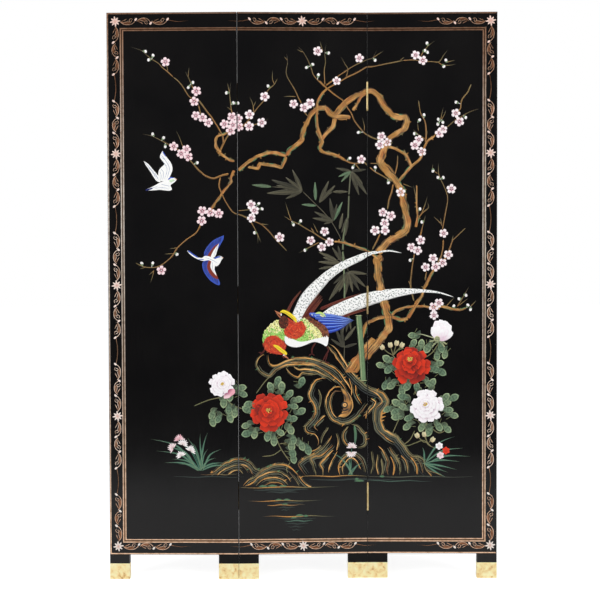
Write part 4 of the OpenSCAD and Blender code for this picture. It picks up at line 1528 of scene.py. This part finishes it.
# At each place two leaves that point away from the nearest flower, the inner one dimmer, and a stalk.
for u, z in leaf_places:
    near = min(flowers, key=lambda flower: math.dist(flower[:2], (u, z)))
    outward = math.degrees(math.atan2(z - near[1], u - near[0]))
    outer_leaf = (0, chance.uniform(-40, 40), 0.42, 0)
    inner_leaf = (16, chance.choice((-50, 50)), 0.26, 0.6)
    for inward, heading, rise, dim in (outer_leaf, inner_leaf):
        long, angle = chance.uniform(28, 35) - 8 * (inward > 0), math.radians(outward + heading)
        foot = off(off((u, z), -inward, math.radians(outward)), -long / 2, angle)
        green = mixed(mixed(leaf_green, leaf_blue, chance.random()), leaf_far, dim)
        dab(leaves, *foot, outward + heading - 90, long * 0.68, long, green, rise + 0.05 * chance.random())
    stroke(stalks, [(u, z), off((u, z), -26, angle)], (1.6, 2.2), stem_green, 0.2, (0.1, 0))

# Longer stalks, by their places across and up.
for numbers in (
    (-100, 480, -84, 452, -70, 420, -40, 376),
    (-250, 590, -222, 562, -176, 545, -150, 536),
    (-150, 600, -120, 640, -96, 662),
    (-84, 452, -58, 470, -30, 512),
    (372, 632, 366, 600, 378, 590),
    (404, 505, 398, 470, 404, 440, 420, 424),
    (454, 776, 436, 752, 420, 730, 394, 712),
    (404, 500, 440, 470, 470, 482),
    (330, 745, 308, 738, 294, 721),
    (259, 747, 278, 730, 294, 721, 306, 700),
    (285, 754, 294, 721),
    (305, 760, 294, 721),
    (322, 754, 294, 721),
    (-66, 420, -96, 400, -132, 396),
    (372, 460, 392, 440, 404, 440),
    (395, 464, 400, 446),
    (421, 447, 408, 438),
    (-40, 376, -52, 356, -48, 340),
    (-20, 450, -50, 440, -76, 436),
    (-350, 560, -300, 580, -250, 590),
    (330, 540, 313, 514, 291, 466),
    (364, 477, 348, 447, 326, 431),
    (318, 436, 340, 428, 366, 437, 393, 445, 412, 428, 436, 418),
):
    stroke(stalks, pairs(numbers), 3.4, (stem_green, olive), 0.24, (0.1, 0.2))

# Cream buds, each at a place and with a heading, and three small flowers of six petals.
creams = []
for u, z, heading in (
    (259, 747, 130),
    (285, 754, 100),
    (305, 760, 80),
    (322, 754, 60),
    (372, 460, 120),
    (395, 464, 95),
    (421, 447, 50),
):
    foot = off((u, z), -8, math.radians(heading))
    for part, tint in ((-14, bud_cream), (12, mixed(bud_cream, leaf_green, 0.3))):
        dab(creams, *foot, heading - 90 + part, 10, 19, tint, 0.5)
for u, z, tint in (
    (443, 427, peony_white),
    (465, 412, peony_red),
    (447, 397, mixed(peony_white, petal_blush, 0.4)),
):
    for k in range(6):
        dab(creams, u, z, 60 * k + chance.uniform(-9, 9), 10, 13, tint, 0.4 + 0.03 * k)
peony_paint = body_colour("peony_paint", worn=0.14, grain=420, depth=0.00012)
leaf_paint = body_colour("leaf_paint", worn=0.3)
lay_picture("peony_leaves", [brushed(stalks, leaf_paint), dabbed(leaves, round_leaf, leaf_paint)])
lay_picture(
    "peonies",
    [dabbed(reds, red_petal, peony_paint), dabbed(whites, white_petal, peony_paint),
     dabbed(closed, closed_petal, peony_paint), dabbed(stamens, round_dab, peony_paint),
     dabbed(creams, slim_dab, peony_paint)],
)


# Painted irises
# Tufts of teal blades by the water with a few spiky flowers, white with rose at the heart.
blade_teal = paint(60, 112, 92)
blade_dark = paint(24, 54, 48)

# Each tuft: the place of its foot, those of its blades' tips, and its flowers, each with its place,
# its heading in degrees and how rosy it is.
tufts = (
    (-330, 350,
     (-490, 453, -470, 414, -438, 430, -420, 388, -306, 474, -280, 392, -262, 420, -330, 470, -352, 440,
      -250, 376, -372, 456, -400, 372, -232, 366, -306, 420, -446, 376),
     ((-398, 451, 100, 1), (-387, 435, 70, 0), (-362, 415, 60, 0), (-392, 398, 120, 0),
      (-418, 424, 150, 0.4))),
    (156, 332, (121, 389, 134, 380, 158, 384, 177, 363, 95, 406, 196, 372, 146, 396),
     ((160, 423, 90, 0.3), (158, 406, 270, 0.1))),
    (398, 371, (544, 393, 510, 376, 493, 458, 471, 341, 467, 324, 389, 423, 520, 420, 446, 352, 500, 350),
     ()),
)
florets_each, floret_wide = 9, 4.6
blades, florets = [], []
for u, z, tips, blooms in tufts:
    for tip_u, tip_z in pairs(tips):
        knee = (u + 0.45 * (tip_u - u), z + 0.66 * (tip_z - z) + 0.06 * abs(tip_u - u))
        blade = [(u + chance.uniform(-10, 10), z), knee, (tip_u, tip_z)]
        tones = (mixed(blade_teal, blade_dark, chance.uniform(0, 0.6)), blade_teal, blade_dark)
        stroke(blades, blade, (5, 7, 2.5), tones, 0.24, (0.2, 0.5))
        stroke(blades, blade, 1.3, mixed(blade_teal, cane_light, 0.4), 0.28, (0.2, 0.6), out=0.1)
    for bloom_u, bloom_z, heading, rosy in blooms:
        stem = [(u, z), ((u + bloom_u) / 2, z + 0.7 * (bloom_z - z)), (bloom_u, bloom_z)]
        stroke(blades, stem, 2.4, blade_teal, 0.24, (0, 0))
        for k in range(florets_each):
            dab(florets, bloom_u, bloom_z, heading - 90 + (k - 4) * 23, floret_wide, chance.uniform(15, 20),
                mixed(petal_white, petal_blush, rosy * chance.uniform(0.3, 1)), 0.5 + 0.02 * k)
iris_paint = body_colour("iris_paint", worn=0.3)
lay_picture("irises", [brushed(blades, iris_paint), dabbed(florets, slim_dab, iris_paint)])


# Painted pheasants
# Two golden pheasants on the rock, the stooped one behind. Bodies are laid in flat and stippled with
# small feathers; the long white tails carry fine dark scales between dark red side feathers.
crest_yellow = paint(250, 222, 44)
ruff_red = paint(208, 58, 28)
ruff_dark = paint(128, 26, 16)
ruff_light = paint(236, 120, 70)
back_yellow = paint(242, 240, 146)
back_green = paint(136, 212, 96)
spot_green = paint(66, 124, 52)
spot_brown = paint(126, 96, 44)
belly_white = paint(252, 252, 250)
head_brown = paint(66, 32, 18)
wing_brown = paint(124, 62, 34)
wing_blue = paint(40, 76, 196)
wing_deep = paint(24, 40, 126)
wing_light = paint(136, 170, 240)
strip_red = paint(86, 18, 10)
strip_dark = paint(42, 12, 8)
scale_ink = paint(50, 56, 58)
scale_teal = paint(110, 134, 126)
beak_horn = paint(196, 122, 84)


def patch(outline, tint, rise, out, material):
    """A filled shape from its outline: flat on top with eased edges."""
    eased_by = 0.7
    rim = smooth([*outline, outline[0]], 5)[:-1]
    if sum((c - a) * (b + d) for (a, b), (c, d) in zip(rim, rim[1:] + rim[:1])) > 0:
        rim.reverse()
    count = len(rim)
    corners = []
    for ring, depth in ((rim, -sink), (rim, out), (beside(rim, eased_by), out + rise)):
        corners.extend((u, depth, z) for u, z in ring)
    faces = [tuple(reversed(range(count))), tuple(range(2 * count, 3 * count))]
    for low in (0, count):
        for k in range(count):
            after = (k + 1) % count
            faces.append((low + k, low + after, low + count + after, low + count + k))
    return flat_mesh("patch", corners, faces, [tint] * len(corners), material)


def within(outline, u, z):
    """Whether a place lies inside an outline."""
    crossings = 0
    for (a, b), (c, d) in zip(outline, outline[1:] + outline[:1]):
        crossings += (b > z) != (d > z) and u < a + (z - b) / (d - b) * (c - a)
    return crossings % 2 == 1


def stipple(work, outline, spacing, size, tints, out, share=1.0):
    """Rows of small dabs over a shape; tints gives the two colours to mix at a place."""
    between_rows, strewn = 0.87, 0.25
    low, high = (tuple(limit(place[axis] for place in outline) for axis in (0, 1)) for limit in (min, max))
    for row in range(round((high[1] - low[1]) / spacing / between_rows)):
        for place in range(round((high[0] - low[0]) / spacing) + 1):
            u = low[0] + (place + 0.5 * (row % 2)) * spacing + chance.uniform(-strewn, strewn) * spacing
            z = low[1] + row * spacing * between_rows + chance.uniform(-strewn, strewn) * spacing
            if chance.random() < share and within(outline, u, z):
                turned = chance.uniform(-30, 30)
                dab(
                    work, u, z, turned, size, size * 1.35, mixed(*tints(u, z), chance.random()), 0.16,
                    out=out,
                )


def train(work, marks, path, out):
    """A white tail along (across, up, width) places, with its fine dark scales."""
    scale_pitch, scale_arc = 8.5, (0, 1.1, 2.2, 3.1)
    places, widths = [place[:2] for place in path], [place[2] for place in path]
    stroke(work, places, widths, belly_white, 0.42, (0.0, 0.04), out=out, step=7)
    line = smooth(path, scale_pitch)
    for k in range(1, len(line) - 1):
        lanes = round(line[k][2] / scale_pitch)
        for lane in range(lanes):
            side = ((lane + 0.5 + 0.3 * (k % 2)) / (lanes + 0.15) - 0.5) * 0.86
            middle = beside([place[:2] for place in line[k - 1:k + 2]], side * line[k][2])[1]
            first, reach = chance.uniform(0, 6.28), chance.uniform(2.2, 4)
            arc = [off(middle, reach, first + part) for part in scale_arc]
            wide, ink = chance.uniform(1.5, 2.6), mixed(scale_ink, scale_teal, chance.random())
            stroke(marks, arc, wide, ink, 0.12, (0.2, 0.2), out=out + 0.4, step=9)


def side_feathers(work, out, *rows):
    """Dark red feathers along a tail, each (first width, last width, places); they fade at their tips."""
    for first, last, *numbers in rows:
        places = pairs(numbers)
        widths = [first + (last - first) * k / (len(places) - 1) for k in range(len(places))]
        stroke(work, places, widths, (strip_red, strip_red, strip_dark), 0.3, (0.05, 0.3), out=out)
        for shift in (-0.25, 0.2):
            barb = beside(places, [shift * wide for wide in widths])
            stroke(work, barb, 1.5, mixed(strip_red, beak_horn, 0.3), 0.3, out=out + 0.1)


def ruff(work, marks, outline, out):
    """A ruff of red feathers, its edges in dark arcs round the head."""
    arcs, half_wide, half_high, arc_reach = 260, 36, 33, 4
    work.append(patch(outline, ruff_red, 0.3, out, feather_paint))
    middle = [sum(place[axis] for place in outline) / len(outline) for axis in (0, 1)]
    for _ in range(arcs):
        reach, angle = math.sqrt(chance.random()), chance.uniform(0, 6.28)
        u, z = middle[0] + half_wide * reach * math.cos(
            angle,
        ), middle[1] + half_high * reach * math.sin(angle)
        if within(outline, u, z):
            arc = [off((u, z), arc_reach, angle + part) for part in (-1.0, 0, 1.0)]
            ink = chance.choice((ruff_dark, ruff_dark, ruff_light))
            stroke(marks, arc, 1.5, ink, 0.14, (0.3, 0.3), out=out + 0.26, step=4)


feather_paint = body_colour("feather_paint", worn=0.1, grain=900)
shapes, washes, marks, spots = [], [], [], []
rear_out, front_out = 0.05, 0.5
yellow_green = (back_yellow, mixed(back_yellow, white, 0.3)), (
    back_green, mixed(back_green, back_yellow, 0.4),
)
eased = (0.1, 0.1)

# Dark red feathers beside both tails. Then the stooped bird: its tail as (across, up, width), back,
# ruff, beak, crest and eye.
side_feathers(
    washes, 0.0, (11, 7, -50, 858, -40, 880, -26, 904, -4, 932),
    (26, 14, 8, 842, 26, 872, 46, 896, 62, 916), (10, 5, 0, 842, 18, 874, 38, 900, 56, 924),
    (9, 5, 20, 846, 44, 878, 66, 906), (11, 8, 58, 872, 100, 890, 155, 910, 190, 922),
    (13, 9, 112, 838, 139, 851, 172, 862, 213, 872),
)
rear_tail = (
    (-8, 832, 26),
    (-16, 846, 34),
    (-5, 872, 38),
    (12, 903, 41),
    (34, 931, 40),
    (64, 962, 34),
    (83, 980, 31),
    (130, 1012, 26),
    (187, 1038, 21),
    (213, 1050, 14),
    (245, 1056, 8),
    (282, 1060, 5),
    (322, 1053, 2),
)
train(washes, marks, rear_tail, rear_out)
stooped = pairs((
    -125, 765, -127, 783, -123, 797, -112, 812, -100, 824, -87, 833, -76, 837, -60, 834, -52, 810, -52, 785,
    -59, 772, -77, 772, -95, 778, -114, 776,
))
shapes.append(patch(stooped, back_yellow, 0.3, rear_out, feather_paint))
stipple(spots, stooped, 3.6, 3.2,
        lambda u, z: yellow_green[z + chance.uniform(-14, 14) < 802 + 0.12 * (u + 90)], rear_out + 0.28)
stipple(spots, stooped, 5.4, 1.4, lambda u, z: (spot_green, spot_brown), rear_out + 0.42, share=0.6)
rear_ruff = pairs((
    -125, 756, -122, 772, -112, 783, -95, 788, -77, 781, -63, 770, -52, 756, -55, 744, -64, 726, -91, 729,
    -110, 735, -121, 744,
))
ruff(shapes, marks, rear_ruff, rear_out + 0.3)
stroke(
    washes, pairs((-60, 726, -54, 719, -44, 712)), (9, 6, 1.5), beak_horn, 0.4, (0, 0.1), rear_out + 0.5,
    3,
)
stroke(washes, pairs((-64, 722, -59, 714)), (6, 3), strip_red, 0.3, (0, 0), rear_out + 0.5, 3)
rear_crest = pairs((-95, 757, -81, 750, -69, 740, -56, 731, -50, 725))
stroke(washes, rear_crest, (4, 11, 12, 11, 7), crest_yellow, 0.4, eased, rear_out + 0.7)
stroke(marks, pairs((-86, 753, -70, 742, -57, 732)), 1.2, spot_brown, 0.1, out=rear_out + 1.06)
dab(spots, -60, 724, 0, 2.6, 2.4, belly_white, 0.4, out=rear_out + 0.9)

# The upright bird: its tail as (across, up, width), the blue feathers of its wing with their light
# and dark lines, and short bands of colour over their roots.
front_tail = (
    (52, 842, 18),
    (75, 850, 28),
    (100, 862, 38),
    (123, 870, 43),
    (155, 884, 45),
    (188, 896, 46),
    (221, 906, 42),
    (254, 914, 38),
    (287, 921, 32),
    (320, 926, 25),
    (353, 929, 18),
    (389, 930, 11),
    (440, 925, 5.5),
    (490, 910, 2),
)
train(washes, marks, front_tail, front_out - 0.3)
for k in range(7):
    root = (22 + 9.5 * k, 856 - 9.6 * k + 8 * math.sin(math.pi * k / 6))
    tip = (166 - 5 * abs(k - 1), 838 - 3.2 * k)
    feather = [root, ((root[0] + tip[0]) / 2, (root[1] + tip[1]) / 2 + 5 - 1.4 * k), tip]
    blues = (wing_blue, wing_blue, wing_deep)
    stroke(washes, feather, (11, 10, 3), blues, 0.32, (0.02, 0.2), front_out + 0.02 * k)
    for shift, tint, wide in ((-3.8, wing_deep, 2), (1.4, wing_light, 2.8)):
        lined = beside(feather, [shift, shift, shift * 0.3])
        stroke(marks, lined, wide, tint, 0.12, (0.1, 0.3), front_out + 0.3)
bands = (
    ((30, 858, 33, 850), belly_white, 3),
    ((38, 853, 46, 847), wing_light, 4),
    ((24, 856, 30, 846), wing_deep, 5),
    ((42, 858, 57, 860, 70, 854, 76, 846), mixed(back_green, back_yellow, 0.5), 7),
    ((56, 854, 70, 847), back_yellow, 4),
)
for numbers, tint, wide in bands:
    stroke(washes, pairs(numbers), wide, tint, 0.2, out=front_out + 0.36, step=4)

# Its back, belly and shoulder.
upright = pairs((
    -3, 836, 7, 842, 17, 837, 30, 827, 42, 817, 53, 806, 62, 796, 68, 784, 53, 777, 34, 772, 14, 767,
    -3, 765, -24, 768, -40, 777, -30, 800,
))
shapes.append(patch(upright, back_yellow, 0.3, front_out, feather_paint))
stipple(spots, upright, 3.6, 3.2,
        lambda u, z: yellow_green[u + 0.5 * (z - 800) + chance.uniform(-14, 14) < 22], front_out + 0.28)
stipple(spots, upright, 5.4, 1.4, lambda u, z: (spot_green, spot_brown), front_out + 0.42, share=0.6)
belly = pairs((
    -57, 786, -40, 779, -23, 773, -9, 768, 12, 769, 34, 775, 53, 779, 65, 782, 84, 789, 82, 758, 76, 752,
    69, 756, 57, 762, 42, 766, 28, 764, 14, 758, -3, 752, -21, 749, -38, 752, -50, 758, -57, 768,
))
shapes.append(patch(belly, belly_white, 0.36, front_out + 0.25, feather_paint))
shoulder = pairs((
    8, 844, 24, 847, 38, 838, 53, 831, 69, 821, 82, 807, 86, 793, 84, 784, 65, 784, 61, 796, 49, 811,
    34, 823, 19, 836,
))
shoulder_browns = (head_brown, mixed(wing_brown, beak_horn, 0.3))
shapes.append(patch(shoulder, wing_brown, 0.3, front_out + 0.3, feather_paint))
stipple(spots, shoulder, 4.4, 2.4, lambda u, z: shoulder_browns, front_out + 0.56, share=0.8)

# Its ruff, head, two halves of the beak, eye and crest.
front_ruff = pairs((
    -47, 845, -36, 838, -19, 829, -3, 835, 5, 824, 12, 812, 7, 796, -1, 785, -15, 778, -32, 777, -48, 782,
    -59, 797, -56, 810, -49, 822,
))
ruff(shapes, marks, front_ruff, front_out + 0.35)
crown = pairs((
    -69, 846, -62, 853, -52, 849, -44, 838, -44, 824, -51, 812, -63, 809, -73, 817, -77, 830, -74, 840,
))
shapes.append(patch(crown, head_brown, 0.3, front_out + 0.4, feather_paint))
stipple(spots, crown, 4.2, 1.8, lambda u, z: (wing_brown, strip_red), front_out + 0.66, share=0.55)
upper_beak, lower_beak = pairs((-68, 856, -79, 861, -89, 868)), pairs((-70, 846, -77, 852, -85, 862))
stroke(washes, upper_beak, (7, 5, 1.5), beak_horn, 0.4, (0, 0.1), front_out + 0.45, 3)
darker_horn = mixed(beak_horn, wing_brown, 0.4)
stroke(washes, lower_beak, (6, 4, 1.5), darker_horn, 0.4, (0, 0.1), front_out + 0.45, 3)
dab(spots, -68, 855, 0, 2.2, 3.6, belly_white, 0.4, out=front_out + 0.7)
dab(spots, -62, 851, 0, 1.6, 1.6, scale_ink, 0.3, out=front_out + 0.8)
front_crest = pairs((-72, 862, -63, 866, -50, 861, -37, 852, -25, 841, -18, 828))
stroke(washes, front_crest, (4, 9, 11, 12, 11, 5), crest_yellow, 0.4, eased, front_out + 0.8)
stroke(marks, pairs((-62, 865, -48, 858, -35, 848, -25, 838)), 1.3, spot_brown, 0.1, out=front_out + 1.16)

# The legs and claws of both birds; a stroke through more than two places is a thicker one.
claws = (
    (43, 764, 32, 745, 31, 727),
    (31, 728, 20, 722),
    (31, 728, 40, 722),
    (78, 752, 85, 740, 76, 723, 66, 704),
    (82, 728, 73, 701),
    (66, 704, 54, 698),
    (73, 702, 88, 697),
    (-120, 742, -130, 731, -136, 724),
    (-130, 731, -142, 733),
)
claw_red = mixed(strip_red, strip_dark, 0.3)
for numbers in claws:
    wide = 5 if len(numbers) > 4 else 3.4
    stroke(washes, pairs(numbers), wide, claw_red, 0.26, (0.05, 0.2), out=0.1, step=4)
lay_picture(
    "pheasants",
    [brushed(washes, feather_paint, 8), *shapes, dabbed(spots, round_dab, feather_paint),
     brushed(marks, feather_paint)],
)


# Painted swallows
# Two small birds on the wing at the upper left: one white with grey-blue feather lines, one blue with
# rust and white bands along its wings. Each is laid in flat and its feathers drawn over it.
swallow_blue = paint(52, 84, 190)
swallow_deep = paint(26, 36, 104)
swallow_grey = paint(120, 140, 180)
swallow_rust = paint(134, 50, 34)
swallow_paint = body_colour("swallow_paint", worn=0.1, grain=900)
layer = 0.06
shapes, quills = [], []


def feathers(outline, tint, *rows):
    """A wing or body from its outline and the lines of its feathers, each (colour, width, places)."""
    shapes.append(patch(pairs(outline), tint, 0.25, layer * len(shapes), swallow_paint))
    drawn_at = 0.14 + layer * len(shapes)
    for line_tint, wide, *numbers in rows:
        stroke(quills, pairs(numbers), wide, line_tint, 0.16, (0.1, 0.3), out=drawn_at, step=4)


feathers(
    (-447, 1383, -436, 1366, -421, 1346, -415, 1325, -422, 1304, -431, 1287, -447, 1285, -456, 1289, -461,
     1304, -459, 1321, -450, 1332, -441, 1341, -448, 1351, -455, 1361, -454, 1371), belly_white,
    (swallow_grey, 1.4, -451, 1370, -436, 1350, -425, 1325, -436, 1290),
    (swallow_grey, 1.2, -447, 1350, -435, 1333, -433, 1317, -441, 1292),
    (swallow_grey, 1.2, -452, 1325, -444, 1313, -447, 1290),
    (swallow_grey, 1.2, -456, 1317, -452, 1304, -453, 1289), (swallow_grey, 1.1, -441, 1337, -431, 1337),
    (swallow_grey, 1.1, -452, 1364, -438, 1354), (swallow_blue, 3.6, -447, 1381, -441, 1372, -436, 1364),
)
feathers(
    (-508, 1351, -493, 1341, -477, 1322, -459, 1300, -454, 1283, -466, 1286, -477, 1300, -489, 1320, -501,
     1337), belly_white, (swallow_grey, 1.4, -504, 1346, -481, 1320, -462, 1292),
    (swallow_grey, 1.2, -493, 1331, -477, 1311, -468, 1292), (swallow_grey, 1.2, -473, 1313, -459, 1290),
)
feathers(
    (-401, 1292, -411, 1297, -424, 1295, -432, 1287, -452, 1283, -473, 1272, -487, 1265, -501, 1259, -487,
     1256, -456, 1258, -427, 1255, -417, 1260, -422, 1271, -417, 1277, -408, 1283), belly_white,
    (swallow_grey, 1.4, -452, 1276, -436, 1272, -422, 1269),
    (swallow_grey, 1.2, -473, 1263, -452, 1265, -427, 1263), (swallow_grey, 1.2, -481, 1265, -464, 1269),
    (swallow_deep, 6, -503, 1257, -491, 1260, -478, 1264),
    (swallow_blue, 4.4, -430, 1290, -421, 1297, -410, 1296),
    (mixed(back_green, belly_white, 0.55), 10, -426, 1285, -416, 1288, -408, 1290),
    (beak_horn, 2.4, -410, 1294, -400, 1291),
)
feathers(
    (-251, 1111, -252, 1099, -262, 1081, -271, 1065, -281, 1043, -300, 1042, -312, 1044, -315, 1053, -310,
     1066, -298, 1083, -283, 1096, -267, 1104), swallow_blue,
)
feathers((-264, 1088, -282, 1077, -295, 1061, -305, 1043, -291, 1042, -279, 1063), swallow_rust)
feathers(
    (-266, 1085, -271, 1066, -280, 1042, -294, 1040, -287, 1058, -278, 1072), belly_white,
    (swallow_grey, 1.2, -271, 1078, -283, 1043),
)
feathers(
    (-307, 1036, -320, 1022, -319, 1004, -310, 984, -292, 963, -268, 950, -264, 958, -271, 975, -278, 992,
     -281, 1007, -279, 1021, -292, 1030), swallow_blue,
)
feathers(
    (-301, 1030, -306, 1012, -301, 994, -288, 977, -270, 969, -274, 984, -284, 1000, -288, 1016, -289,
     1029), swallow_rust,
)
feathers(
    (-291, 1030, -295, 1014, -290, 998, -274, 980, -281, 1002, -278, 1019), belly_white,
    (swallow_grey, 1.2, -288, 1025, -287, 1004, -280, 988),
)
feathers(
    (-252, 1039, -261, 1044, -271, 1044, -281, 1037, -300, 1044, -312, 1045, -324, 1038, -341, 1045, -368,
     1063, -361, 1051, -341, 1037, -318, 1029, -300, 1031, -287, 1023, -275, 1011, -264, 1021, -258,
     1033), belly_white, (swallow_blue, 4.4, -367, 1062, -349, 1049, -331, 1038),
    (swallow_blue, 3, -333, 1034, -314, 1033), (swallow_blue, 5.6, -282, 1036, -271, 1041, -260, 1042),
    (beak_horn, 2.4, -260, 1040, -251, 1039), (swallow_grey, 1.2, -308, 1039, -287, 1031, -271, 1021),
    (scale_ink, 1.8, -267, 1036, -264, 1036),
)

# Short dark quills across the two wings of the blue bird.
for inner, outer in (
    ((-305, 1043, -295, 1061, -282, 1077, -264, 1088), (-315, 1053, -308, 1069, -292, 1089, -255, 1109)),
    ((-301, 1030, -306, 1010, -299, 992, -271, 969), (-319, 1022, -317, 1002, -306, 979, -269, 951)),
):
    for root, tip in zip(smooth(pairs(inner), 4.4), smooth(pairs(outer), 5)):
        stroke(quills, [root, tip], 2.4, swallow_deep, 0.14, (0.1, 0.3), out=0.54)
lay_picture("swallows", [*shapes, brushed(quills, swallow_paint)])
